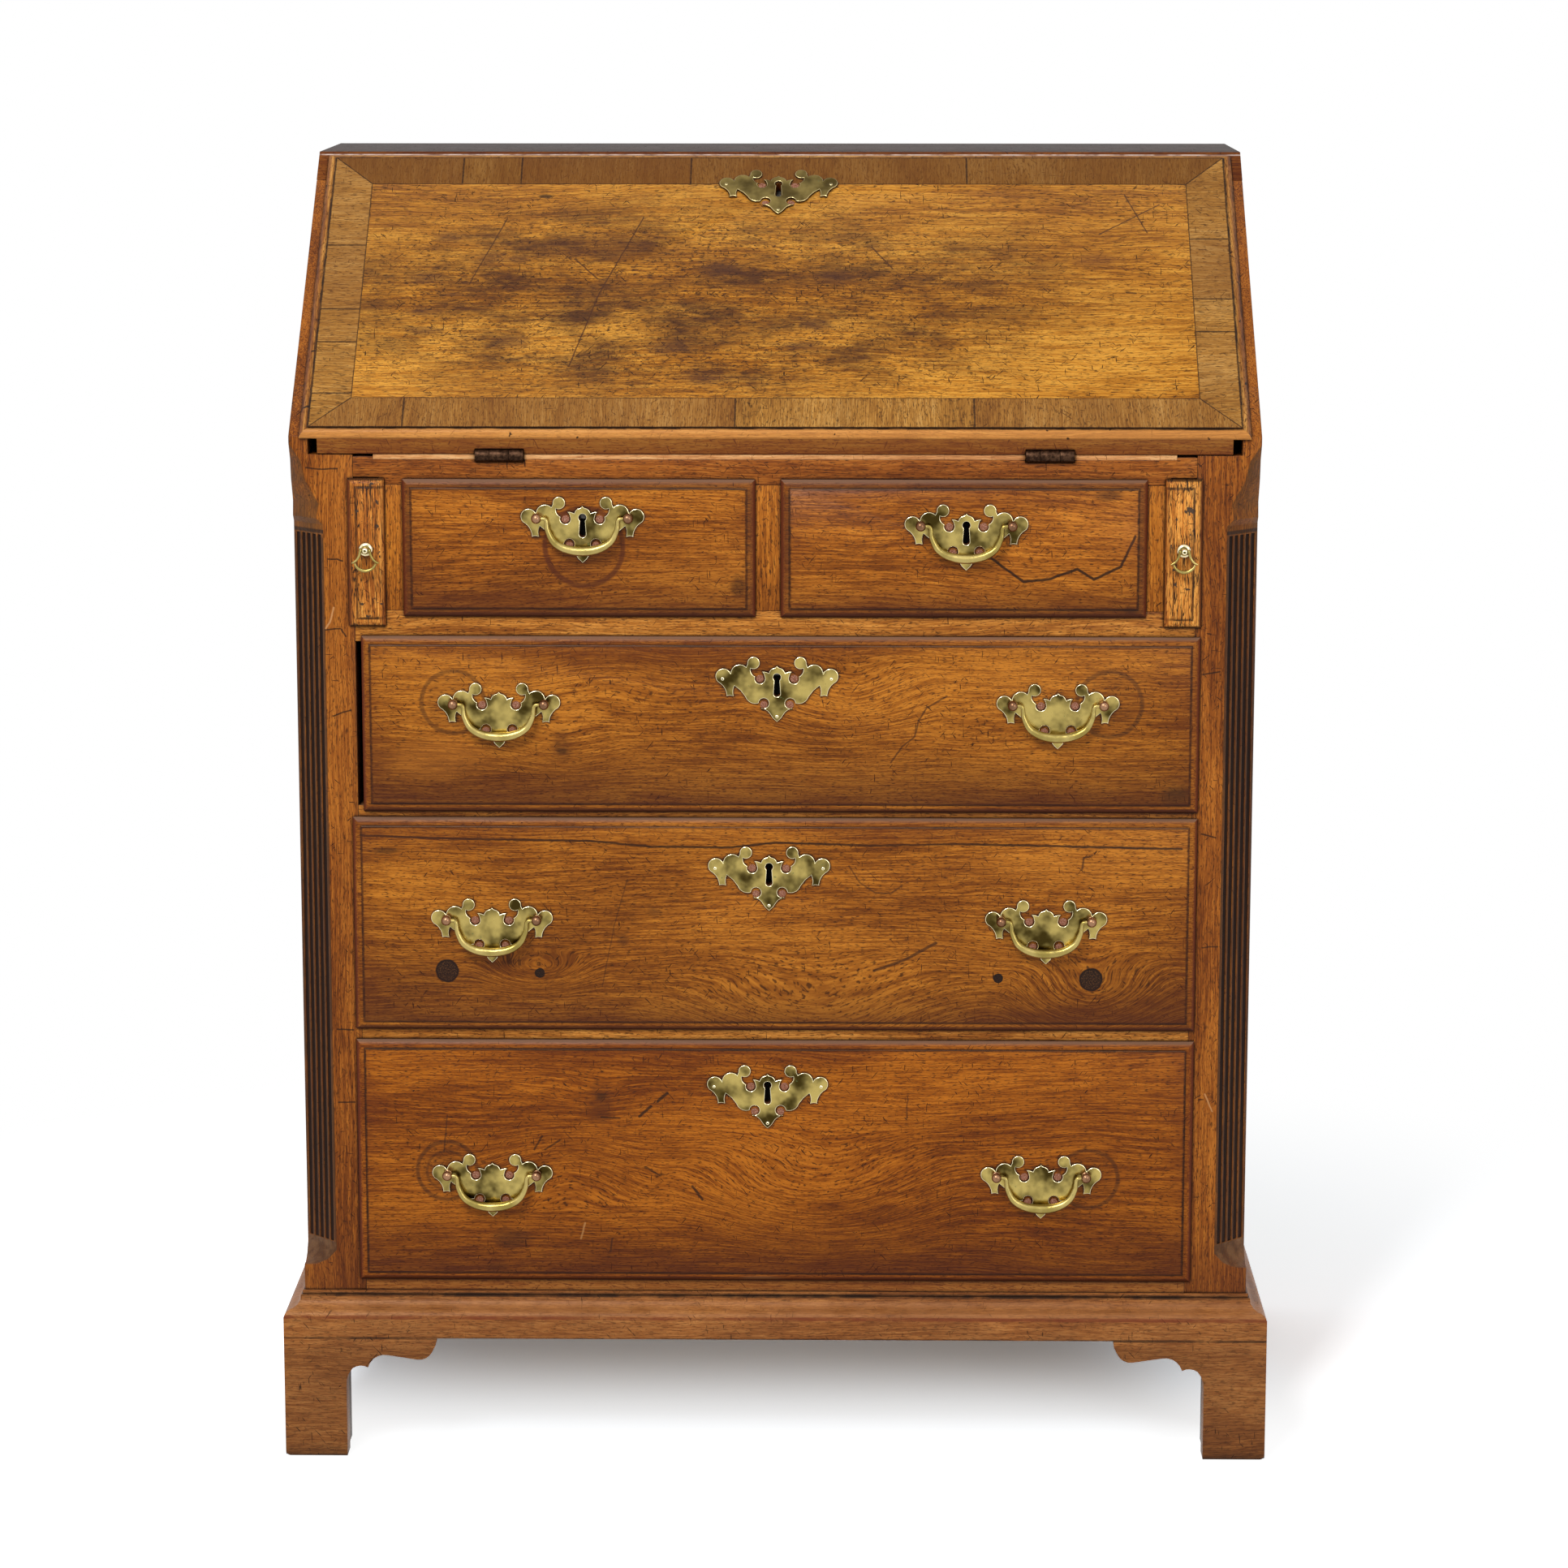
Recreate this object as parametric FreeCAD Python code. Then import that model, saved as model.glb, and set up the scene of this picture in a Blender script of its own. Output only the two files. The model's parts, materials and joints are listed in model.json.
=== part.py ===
import FreeCAD, Part
import math
import os

# Slant-front bureau: a case with canted, fluted corners, a hinged writing fall, two pull-out lopers,
# two short and three long lipped drawers, and a pigeonhole fitting behind the fall.
# Millimetres, +Z up, front towards -Y. The sizes are set in the case frame: x = 0 is the middle,
# y = 0 the front face of the case and z = 0 the floor. Every piece is moved to the bottom centre
# of the whole object's box when it is written.

V = FreeCAD.Vector

# Case
case_width = 760.0
case_depth = 410.0
case_height = 1036.0
slant_height = 827.0
top_depth = 160.0
carcass_bottom = 99.0
side_thickness = 15.0
top_thickness = 22.0
back_thickness = 10.0
back_board_count = 4
back_board_gap = 0.4
bottom_thickness = 14.0
deck_thickness = 12.0

# Canted corner posts
post_width = 50.0
post_depth = 42.0
cant_leg = 26.0
cant_top_drop = 70.0
cant_bottom_rise = 33.0
tongue_height = 64.0
tongue_tip_rise = 21.0
flute_count = 5
flute_radius = 2.3
flute_pitch = 6.6
flute_top_margin = 8.0
flute_bottom_margin = 7.0

# Base moulding and bracket feet
base_projection = 16.0
base_height = 36.0
base_fascia = 17.0
base_fillet_height = 3.5
base_fillet_out = 1.6
base_step_out = 3.0
foot_leg_width = 50.0
foot_width = 123.5
foot_corner = 4.0
foot_thickness = 20.0
foot_block_size = 28.5
foot_block_lift = 1.0
rear_board_foot = 40.0
rear_board_width = 92.0
rear_board_thickness = 18.0

# Fall, its hinge and its edge
fall_thickness = 18.5
fall_side_margin = 8.5
fall_body_margin = 7.5
fall_low = -3.0
fall_top_margin = 6.85
fall_body_top_margin = 25.85
fall_top_gap = 0.5
band_width = 32.0
band_thickness = 1.2
hinge_sink = 1.0
hinge_out = 0.5
hinge_edge_gap = 0.5
fall_deck_gap = 0.4
hinge_place = 215.0
hinge_radius = 5.0
hinge_middle = 15.2
hinge_outer = 11.0
hinge_knuckle_gap = 0.2
hinge_leaf_length = 34.0
hinge_leaf_thickness = 1.8
hinge_pin_radius = 2.0
running_clearance = 0.05
hinge_recess = 0.4
strip_end_margin = 16.0
strip_thickness = 4.0
rail_end_drop = 2.0

# Moulded, lipped edges of the drawers, the lopers and the fall
lip_thickness = 6.0
lip_overlap = 4.5
lip_seat = 0.3
lip_width = 7.0
lip_edge = 1.5
lip_step = 1.1

# Drawer openings, from the top down; the lowest one takes the height that is left
top_rail_height = 24.0
short_opening = 99.5
rail_1 = 24.5
long_opening_1 = 131.5
rail_2 = 13.5
long_opening_2 = 163.5
rail_3 = 17.5
bottom_rail_show = 14.0
rail_depth = 60.0
loper_opening_width = 20.0
loper_stile_width = 23.0
loper_sink = 8.0
divider_width = 29.0
divider_offset = -5.0
partition_thickness = 12.0
runner_thickness = 12.0
runner_width = 53.0
guide_height = 20.0

# Drawers
front_thickness = 14.0
drawer_side = 9.0
drawer_bottom = 6.0
drawer_bottom_lift = 5.0
drawer_groove = 4.0
drawer_side_clear = 1.5
drawer_top_clear = 2.0
drawer_front_lift = 1.0
drawer_length = 385.0
tail_length = 10.0
tail_flare = 1.5
tail_count = 2
lost_lip_gap = 4.5

# Brasses
plate_thickness = 1.6
post_spacing = 71.5
post_ball_radius = 3.4
post_neck_radius = 2.2
post_head_turn = 64.0
bail_stand = 6.5
bail_pin_radius = 1.3
bail_drop = 26.0
bail_half_width = 27.8
bail_swell = 2.9
round_step = 46.0
moulding_step = 24.0
foot_step = 18.0
turned_sides = 8
barrel_sides = 12
keyhole_radius = 3.0
keyhole_drop = 15.5

# Locks
lock_width = 56.0
lock_height = 44.0
lock_thickness = 9.0
bolt_width = 18.0
bolt_height = 25.0
bolt_thickness = 3.0
bolt_set_back = 5.2
bolt_clear = 0.3
bolt_sink = 0.5
bolt_travel = 8.0
mortise_depth = 11.0

# Lopers and their drop pulls
loper_clear = 0.4
loper_length = 350.0
loper_travel = 280.0
loper_peg_radius = 4.0
loper_peg_place = 335.0
loper_pull_rise = 57.0
rose_radius = 5.6
drop_stand = 6.6
drop_pin_radius = 1.0
drop_thickness = 2.2

# Pigeonhole fitting
fitting_set_back = 4.0
fitting_fall_clear = 3.0
fitting_board = 7.0
fitting_drawer_height = 52.0
fitting_drawer_length = 138.0
fitting_drawer_clear = 0.8
fitting_front = 9.0
fitting_side = 6.0
fitting_floor = 4.0
fitting_drawer_count = 3
pigeonhole_count = 6
valance_height = 34.0
valance_thickness = 5.0
valance_foot = 8.0

# Brass places: plates from the middle of the case, and keyholes below the tops of the openings.
# Each long drawer's set is (sideways shift of the plates, post line above the opening's middle,
# sideways shift of the keyhole, keyhole below the opening's top).
short_plate_place = 150.0
short_key_drop_left = 25.0
short_key_drop_right = 30.5
long_plate_place = 220.0
long_brass_1 = (3.0, 17.5, 2.0, 27.0)
long_brass_2 = (-4.5, 5.0, -4.3, 34.0)
long_brass_3 = (-6.5, -10.0, -5.6, 31.0)

# Values worked out from the sizes above
half_width = case_width / 2
slope_run = case_depth - top_depth
slope_rise = case_height - slant_height
slant_angle = math.degrees(math.atan2(slope_rise, slope_run))
slant_cos = math.cos(math.radians(slant_angle))
slant_sin = math.sin(math.radians(slant_angle))
inner_half = half_width - side_thickness
opening_half = half_width - post_width
strip_half_width = opening_half - strip_end_margin
slope_length = math.hypot(slope_run, slope_rise)
fall_half_width = half_width - fall_side_margin
fall_body_half_width = inner_half - fall_body_margin
fall_high = slope_length - fall_top_margin
fall_body_high = slope_length - fall_body_top_margin
back_y = case_depth - back_thickness
top_under = case_height - top_thickness
base_top = carcass_bottom + base_height
base_arris = carcass_bottom + base_fascia

field_proud = lip_seat + lip_thickness
fall_outer = field_proud
fall_inner = fall_outer - fall_thickness
hinge_n = fall_inner + hinge_sink
hinge_y = -hinge_out
hinge_z = slant_height + (hinge_n + slant_sin * hinge_y) / slant_cos
hinge_s = slant_cos * hinge_y + slant_sin * (hinge_z - slant_height)
hinge_length = hinge_middle + 2 * hinge_outer + 2 * hinge_knuckle_gap
deck_level = hinge_z + hinge_sink
loper_top = deck_level - fall_thickness - lip_seat

short_top = deck_level - top_rail_height
short_bottom = short_top - short_opening
long_1_top = short_bottom - rail_1
long_1_bottom = long_1_top - long_opening_1
long_2_top = long_1_bottom - rail_2
long_2_bottom = long_2_top - long_opening_2
long_3_top = long_2_bottom - rail_3
long_3_bottom = base_top + bottom_rail_show
loper_inner = opening_half - loper_opening_width
short_outer = loper_inner - loper_stile_width
divider_left = divider_offset - divider_width / 2
divider_right = divider_offset + divider_width / 2
loper_floor = short_bottom - loper_sink

post_head = bail_stand + post_ball_radius * math.sin(math.radians(post_head_turn))
front_reach = field_proud + plate_thickness + post_head
origin_shift = V(0, -(case_depth - front_reach) / 2, 0)

nodes = {}


def add(name, *shapes):
    """Keep the named piece, moved to the object's own origin."""
    moved = [shape.translated(origin_shift) for shape in shapes]
    nodes[name] = moved[0] if len(moved) == 1 else Part.makeCompound(moved)


def box(x0, x1, y0, y1, z0, z1):
    return Part.makeBox(x1 - x0, y1 - y0, z1 - z0, V(x0, y0, z0))


def prism(points, along):
    """A straight-sided solid: a closed polygon pushed along a vector."""
    return Part.Face(Part.makePolygon(points + [points[0]])).extrude(along)


def mirrored(shape):
    return shape.mirror(V(0, 0, 0), V(1, 0, 0))


def chords(start, segments, step):
    """Flat points along lines and arcs; an arc is walked in equal chords of about one step."""
    points = [start]
    here = start
    for segment in segments:
        end = segment[-1]
        if len(segment) == 2:
            arc = Part.Arc(V(*here, 0), V(*segment[0], 0), V(*end, 0))
            sweep = math.degrees(abs(arc.LastParameter - arc.FirstParameter))
            count = max(1, math.ceil(sweep / step - 0.25))
            for i in range(1, count):
                place = arc.FirstParameter + (arc.LastParameter - arc.FirstParameter) * i / count
                spot = arc.value(place)
                points.append((spot.x, spot.y))
        points.append(end)
        here = end
    return points


def section(points, to_space, along):
    """A moulding or cutter: flat points taken into space and pushed along a vector."""
    return prism([to_space(*point) for point in points], along)


def on_front(shape, x, y, z):
    """Stand a piece drawn in (u, v, p) on a front face: v goes up, p comes forward."""
    placed = shape.copy()
    placed.rotate(V(0, 0, 0), V(1, 0, 0), 90)
    placed.translate(V(x, y, z))
    return placed


def on_slant(shape):
    """Lay a piece drawn in (u, v, p) on the slant: v climbs the slope, p is its outward normal."""
    placed = shape.copy()
    placed.rotate(V(0, 0, 0), V(1, 0, 0), slant_angle)
    placed.translate(V(0, 0, slant_height))
    return placed


def moulded_slab(u0, u1, v0, v1):
    """A lipped panel with a stepped ovolo on all four edges, mitred by crossing two profiles."""
    shoulder = lip_thickness - lip_step
    bulge = 0.3 * lip_width
    middle = lip_edge + 0.72 * (shoulder - lip_edge)

    def profile(low, high):
        return chords((low, 0), [
            ((low, lip_edge),),
            ((low + bulge, middle), (low + lip_width, shoulder)),
            ((low + lip_width, lip_thickness),),
            ((high - lip_width, lip_thickness),),
            ((high - lip_width, shoulder),),
            ((high - bulge, middle), (high, lip_edge)),
            ((high, 0),),
        ], moulding_step)

    across = section(profile(u0, u1), lambda t, p: V(t, v0, p), V(0, v1 - v0, 0))
    upright = section(profile(v0, v1), lambda t, p: V(u0, t, p), V(u1 - u0, 0, 0))
    return across.common(upright)


def frame_strips(u0, u1, v0, v1, width, p0, p1):
    """Four flat strips round a rectangle, mitred at the corners: bottom, right, top, left."""
    outer = [V(u0, v0, p0), V(u1, v0, p0), V(u1, v1, p0), V(u0, v1, p0)]
    inner = [V(u0 + width, v0 + width, p0), V(u1 - width, v0 + width, p0),
             V(u1 - width, v1 - width, p0), V(u0 + width, v1 - width, p0)]
    strips = []
    for i in range(4):
        j = (i + 1) % 4
        strips.append(prism([outer[i], outer[j], inner[j], inner[i]], V(0, 0, p1 - p0)))
    return strips


def ring(centre, normal, across, radius, sides):
    """Corners of a regular polygon about a centre, the first half a step from the direction across."""
    side = normal.cross(across).normalize()
    points = []
    for i in range(sides):
        turn = 2 * math.pi * (i + 0.5) / sides
        points.append(centre + across * (radius * math.cos(turn)) + side * (radius * math.sin(turn)))
    return points


def flat_face(points):
    return Part.Face(Part.makePolygon(points + [points[0]]))


def faceted(rings, level):
    """A solid of flat faces through rings of corners; rings that are level share flat sides."""
    faces = [flat_face(rings[0]), flat_face(rings[-1])]
    for low, high in zip(rings, rings[1:]):
        for i in range(len(low)):
            j = (i + 1) % len(low)
            if level:
                faces.append(flat_face([low[i], low[j], high[j], high[i]]))
            else:
                faces.append(flat_face([low[i], low[j], high[j]]))
                faces.append(flat_face([low[i], high[j], high[i]]))
    shell = Part.makeShell(faces)
    shell.sewShape()
    solid = Part.makeSolid(shell)
    if solid.Volume < 0:
        solid.reverse()
    return solid


def turned(stations):
    """A turned piece along p, through (height, radius) stations."""
    return faceted([ring(V(0, 0, p), V(0, 0, 1), V(1, 0, 0), radius, turned_sides)
                    for p, radius in stations], True)


def rod(x0, x1, radius, sides):
    """A round rod along x about the axis, drawn with flat sides inside its radius."""
    return flat_face(ring(V(x0, 0, 0), V(1, 0, 0), V(0, 0, 1), radius, sides)).extrude(V(x1 - x0, 0, 0))


def bore(x0, x1, radius, sides):
    """Room for a rod along x: its flat sides stand outside the radius."""
    return rod(x0, x1, radius / math.cos(math.pi / sides), sides)


# Brass plates and bails

def bat_wing_outline():
    """Right half of the pierced bat-wing plate, from the ogee point at the top to the tip below."""
    return (0.0, 9.6), [
        ((0.8, 8.3), (2.4, 7.5)),
        ((5.0, 6.1), (6.3, 3.4)),
        ((8.8, 4.4), (12.2, 4.8)),
        ((10.4, 2.9), (9.77, 0.69)),
        ((13.4, -5.0), (17.03, 0.69)),
        ((19.8, 3.0), (20.7, 7.17)),
        ((14.44, 14.38), (23.2, 10.65)),
        ((24.2, 8.2),),
        ((29.6, 10.3), (36.4, 3.2)),
        ((46.6, 5.2), (46.58, -3.58)),
        ((41.6, -8.2), (39.6, -14.2)),
        ((40.2, -15.4),),
        ((37.0, -14.5), (33.8, -15.4)),
        ((34.5, -11.0), (33.4, -6.6)),
        ((28.6, -10.6), (25.0, -15.4)),
        ((20.6, -20.3), (14.4, -20.6)),
        ((7.1, -18.3), (11.77, -24.36)),
        ((12.8, -25.0),),
        ((8.8, -26.0), (5.9, -28.6)),
        ((3.4, -32.4), (0.0, -35.6)),
    ]


def keyhole_prism(depth):
    """A keyhole: a round eye over a slot that spreads to a rounded foot."""
    neck = 0.62 * keyhole_radius
    foot = 0.86 * keyhole_radius
    points = chords((-neck, -0.78 * keyhole_radius), [
        ((0, keyhole_radius), (neck, -0.78 * keyhole_radius)),
        ((foot, -keyhole_drop + foot),),
        ((0, -keyhole_drop), (-foot, -keyhole_drop + foot)),
    ], round_step)
    return prism([V(u, v, -depth) for u, v in points], V(0, 0, 2 * depth))


def bat_wing_plate(with_keyhole):
    start, segments = bat_wing_outline()
    right = chords(start, segments, round_step)
    left = [(-u, v) for u, v in reversed(right[1:-1])]
    plate = prism([V(u, v, 0) for u, v in right + left], V(0, 0, plate_thickness))
    if with_keyhole:
        plate = plate.cut(keyhole_prism(2 * plate_thickness))
    return plate


def bail_post(side):
    """A ball-headed post on its plate, with an eye for the bail's pin."""
    middle = plate_thickness + bail_stand
    stations = [(plate_thickness, 1.4 * post_neck_radius), (plate_thickness + 1.4, post_neck_radius)]
    for turn in (-42, 6, post_head_turn):
        angle = math.radians(turn)
        stations.append((middle + post_ball_radius * math.sin(angle), post_ball_radius * math.cos(angle)))
    eye = bore(-2 * post_ball_radius, 0.6, bail_pin_radius + running_clearance, turned_sides)
    post = turned(stations).cut(eye.translated(V(0, 0, middle)))
    if side < 0:
        post = mirrored(post)
    return post.translated(V(side * post_spacing / 2, 0, 0))


def bail():
    """A cast bail in its own plane: pins into the posts, slim arms, and a swelling grip below."""
    arm = bail_half_width
    drop = bail_drop
    half = [(post_spacing / 2 - 1.2, 0.0, bail_pin_radius), (arm + 2.2, 0.0, bail_pin_radius),
            (arm, -2.0, bail_pin_radius), (0.965 * arm, -0.38 * drop, 1.55),
            (0.80 * arm, -0.72 * drop, 2.0), (0.45 * arm, -0.94 * drop, 2.55)]
    spots = half + [(0.0, -drop, bail_swell)] + [(-u, v, r) for u, v, r in reversed(half)]
    rings = []
    for i, (u, v, radius) in enumerate(spots):
        before = spots[max(i - 1, 0)]
        after = spots[min(i + 1, len(spots) - 1)]
        along = V(after[0] - before[0], after[1] - before[1], 0).normalize()
        rings.append(ring(V(u, v, 0), along, V(0, 0, 1), radius, turned_sides))
    return faceted(rings, False)


# Locks

def lock_pieces(top):
    """A lock let into the back of a front whose upper edge is at v = top: case and bolt in (u, v, p)."""
    back = -front_thickness
    case = box(-lock_width / 2, lock_width / 2, top - lock_height, top, back, back + lock_thickness)
    bolt_p = back + bolt_set_back
    slot = box(-bolt_width / 2 - bolt_clear, bolt_width / 2 + bolt_clear,
               top - bolt_height - bolt_sink - bolt_clear, top + 1,
               bolt_p - bolt_clear, bolt_p + bolt_thickness + bolt_clear)
    bolt = box(-bolt_width / 2, bolt_width / 2, top - bolt_height - bolt_sink, top - bolt_sink,
               bolt_p, bolt_p + bolt_thickness)
    return case, slot, bolt


def lock_mortise(x, z):
    """The mortise above a drawer lock, in a rail whose underside is at z."""
    y = front_thickness - bolt_set_back
    wide = bolt_width / 2 + 1
    return box(x - wide, x + wide, y - bolt_thickness - 0.6, y + 0.6, z - 1, z + bolt_travel)


# Case

def build_sides():
    y_top = (top_under - slant_height) * slope_run / slope_rise
    z_post = slant_height + post_depth * slope_rise / slope_run
    board = prism([V(-half_width, y, z) for y, z in (
        (post_depth, carcass_bottom), (case_depth, carcass_bottom), (case_depth, top_under),
        (y_top, top_under), (post_depth, z_post))], V(side_thickness, 0, 0))
    add("side_left", board)
    add("side_right", mirrored(board))


def build_top():
    y_low = (top_under - slant_height) * slope_run / slope_rise
    board = prism([V(-half_width, y, z) for y, z in (
        (case_depth, top_under), (case_depth, case_height), (slope_run, case_height), (y_low, top_under))],
        V(case_width, 0, 0))
    seat = fall_body_high + fall_top_gap
    rebate = box(-inner_half, inner_half, seat - 40, seat, -40, 2 * lip_thickness)
    bolt_n = fall_inner + bolt_set_back + bolt_thickness / 2
    wide = bolt_width / 2 + 1
    thick = bolt_thickness / 2 + 0.5
    mortise = box(-wide, wide, seat - 1, seat + mortise_depth, bolt_n - thick, bolt_n + thick)
    add("top_board", board.cut(on_slant(rebate)).cut(on_slant(mortise)))


def build_back_and_floors():
    pitch = 2 * inner_half / back_board_count
    boards = []
    for i in range(back_board_count):
        left = -inner_half + i * pitch
        trim = back_board_gap if i else 0
        boards.append(box(left + trim, left + pitch, back_y, case_depth, carcass_bottom, top_under))
    add("back_boards", *boards)
    add("bottom_board", box(-inner_half, inner_half, post_depth, back_y,
                            long_3_bottom - bottom_thickness, long_3_bottom))
    deck = box(-inner_half, inner_half, post_depth, back_y, deck_level - deck_thickness, deck_level)
    add("writing_deck", deck)


def build_corner_posts():
    z_behind = slant_height + post_depth * slope_rise / slope_run
    outer = prism([V(-half_width, y, z) for y, z in (
        (0, carcass_bottom), (post_depth, carcass_bottom), (post_depth, z_behind), (0, slant_height))],
        V(side_thickness, 0, 0))
    inner = box(-inner_half, -opening_half, 0, post_depth, carcass_bottom, deck_level - fall_deck_gap)
    post = outer.fuse(inner).removeSplitter()

    # The cant and its stops are one profile of depth against height, pushed across the corner.
    inward = V(1, 1, 0).normalize()
    across = V(1, -1, 0).normalize()
    ledge = slant_height - cant_top_drop
    tongue = ledge + tongue_height
    low = base_top + cant_bottom_rise
    tip = base_top + tongue_tip_rise

    def at(leg, z):
        return V(-half_width, 0, 0) + inward * (leg / math.sqrt(2)) + V(0, 0, z) - across * cant_leg * 2

    cutter = chords((-cant_leg, tongue), [
        ((0, tongue),),
        ((0.30 * cant_leg, tongue - 0.17 * tongue_height), (0.48 * cant_leg, tongue - 0.45 * tongue_height)),
        ((0.71 * cant_leg, tongue - 0.58 * tongue_height), (0.87 * cant_leg, tongue - 0.74 * tongue_height)),
        ((0.86 * cant_leg, tongue - 0.83 * tongue_height), (0.79 * cant_leg, tongue - 0.92 * tongue_height)),
        ((cant_leg, ledge),),
        ((cant_leg, low),),
        ((0.74 * cant_leg, low - 0.62 * (low - tip)), (0, tip)),
        ((-cant_leg, tip),),
    ], moulding_step)
    post = post.cut(section(cutter, at, across * cant_leg * 4))

    top = ledge - flute_top_margin
    bottom = low + flute_bottom_margin
    face = V(-half_width, 0, bottom) + inward * (cant_leg / math.sqrt(2))
    for i in range(flute_count):
        offset = (i - (flute_count - 1) / 2) * flute_pitch
        flute = turned([(0, flute_radius), (top - bottom, flute_radius)])
        flute.rotate(V(0, 0, 0), V(0, 0, 1), 45)
        post = post.cut(flute.translated(face + across * offset))
    add("corner_post_left", post)
    add("corner_post_right", mirrored(post))


def hinge_room(x):
    """Room for a hinge barrel, round the hinge axis."""
    half = hinge_length / 2 + hinge_recess
    room = bore(x - half, x + half, hinge_radius + hinge_recess, barrel_sides)
    return room.translated(V(0, hinge_y, hinge_z))


def build_rails():
    rail = box(-opening_half, opening_half, 0, post_depth, short_top, deck_level - rail_end_drop)
    strip = box(-strip_half_width, strip_half_width, 0, post_depth, deck_level - strip_thickness, deck_level)
    for side in (-1, 1):
        slot = box(loper_inner, opening_half, -1, post_depth + 1, short_top - 1, loper_top + loper_clear)
        rail = rail.cut(slot if side > 0 else mirrored(slot))
        barrel = hinge_room(side * hinge_place)
        half = hinge_length / 2
        leaf = box(side * hinge_place - half, side * hinge_place + half, hinge_y,
                   hinge_y + hinge_leaf_length, deck_level - hinge_leaf_thickness, deck_level + 1)
        rail = rail.cut(barrel)
        strip = strip.cut(barrel).cut(leaf)
        rail = rail.cut(lock_mortise(side * short_plate_place, short_top))
    rebate = box(-strip_half_width, strip_half_width, -1, post_depth + 1,
                 deck_level - strip_thickness, deck_level)
    add("top_rail", rail.cut(rebate))
    add("hinge_strip", strip)

    first = box(-opening_half, opening_half, 0, rail_depth, long_1_top, short_bottom)
    for side in (-1, 1):
        slot = box(loper_inner, opening_half + 1, -1, rail_depth + 1, loper_floor, short_bottom + 1)
        first = first.cut(slot if side > 0 else mirrored(slot))
    first = first.cut(lock_mortise(long_brass_1[2], long_1_top))
    second = box(-opening_half, opening_half, 0, rail_depth, long_2_top, long_1_bottom)
    third = box(-opening_half, opening_half, 0, rail_depth, long_3_top, long_2_bottom)
    bottom = box(-opening_half, opening_half, 0, post_depth, carcass_bottom, long_3_bottom)
    add("drawer_rails", first, second.cut(lock_mortise(long_brass_2[2], long_2_top)),
        third.cut(lock_mortise(long_brass_3[2], long_3_top)), bottom)


def build_dividers():
    middle = box(divider_left, divider_right, 0, post_depth, short_bottom, short_top)
    wall = box(divider_offset - partition_thickness / 2, divider_offset + partition_thickness / 2,
               post_depth, back_y, short_bottom, short_top)
    stile = box(short_outer, loper_inner, 0, post_depth, short_bottom, short_top)
    panel = box(loper_inner - partition_thickness, loper_inner, post_depth, back_y, short_bottom, short_top)
    peg = loper_peg_radius + loper_clear
    peg_z = (short_bottom + short_top) / 2
    slot = box(loper_inner - partition_thickness - 1, loper_inner + 1,
               loper_peg_place - loper_travel - peg, loper_peg_place + peg, peg_z - peg, peg_z + peg)
    panel = panel.cut(slot)
    add("drawer_dividers", middle, wall, stile, panel, mirrored(stile), mirrored(panel))


def build_runners():
    pieces = []
    for floor in (long_1_bottom, long_2_bottom):
        runner = box(inner_half - runner_width, inner_half, rail_depth, back_y,
                     floor - runner_thickness, floor)
        guide = box(opening_half, inner_half, post_depth, back_y, floor, floor + guide_height)
        pieces += [runner, guide]
    pieces.append(box(opening_half, inner_half, post_depth, back_y,
                      long_3_bottom, long_3_bottom + guide_height))
    pieces.append(box(loper_inner, inner_half, rail_depth, back_y,
                      loper_floor - runner_thickness, loper_floor))
    pieces.append(box(opening_half + loper_clear / 2, inner_half, post_depth, back_y,
                      short_bottom + guide_height / 2, short_top - guide_height / 2))
    pieces.append(box(short_outer - guide_height, loper_inner, rail_depth, back_y,
                      short_bottom - runner_thickness, short_bottom))
    pieces += [mirrored(piece) for piece in pieces]
    pieces.append(box(divider_left - guide_height, divider_right + guide_height, rail_depth, back_y,
                      short_bottom - runner_thickness, short_bottom))
    add("drawer_runners", *pieces)


def base_profile(edge, sign):
    """The base moulding's section from its foot up; it stands out of the edge to the sign's side."""
    def out(reach, z):
        return edge + sign * reach, z

    rise = base_top - base_fillet_height - base_arris
    knee = base_step_out + 0.46 * (base_projection - base_step_out)
    knee_z = base_arris + 0.36 * rise
    step_z = base_arris + rise
    return [
        (out(base_projection, carcass_bottom),),
        (out(base_projection, base_arris),),
        (out(base_projection - 1.8, base_arris + 0.22 * rise), out(knee, knee_z)),
        (out(base_step_out + 1.6, knee_z + 0.23 * rise), out(base_step_out, step_z)),
        (out(base_fillet_out, step_z),),
        (out(base_fillet_out, base_top),),
    ]


def build_base():
    x = half_width + base_projection
    across = chords((case_depth, carcass_bottom),
                    base_profile(0, -1) + [((case_depth, base_top),)], moulding_step)
    front = section(across, lambda y, z: V(0, y, z), V(x, 0, 0))
    along = chords((0, carcass_bottom), base_profile(half_width, 1) + [((0, base_top),)], moulding_step)
    side = section(along, lambda a, z: V(a, -base_projection, z), V(0, case_depth + base_projection, 0))
    core = box(-1, half_width, 0, case_depth + 1, carcass_bottom - 1, base_top + 1)
    right = front.common(side).cut(core)
    low = carcass_bottom - 1
    mitre = prism([V(x, -base_projection, low), V(half_width, 0, low), V(half_width, case_depth, low),
                   V(x, case_depth, low)], V(0, 0, base_top - carcass_bottom + 2))
    half_front = right.cut(mitre)
    return_piece = right.common(mitre)
    add("base_moulding", half_front.fuse(mirrored(half_front)).removeSplitter(),
        return_piece, mirrored(return_piece))


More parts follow.
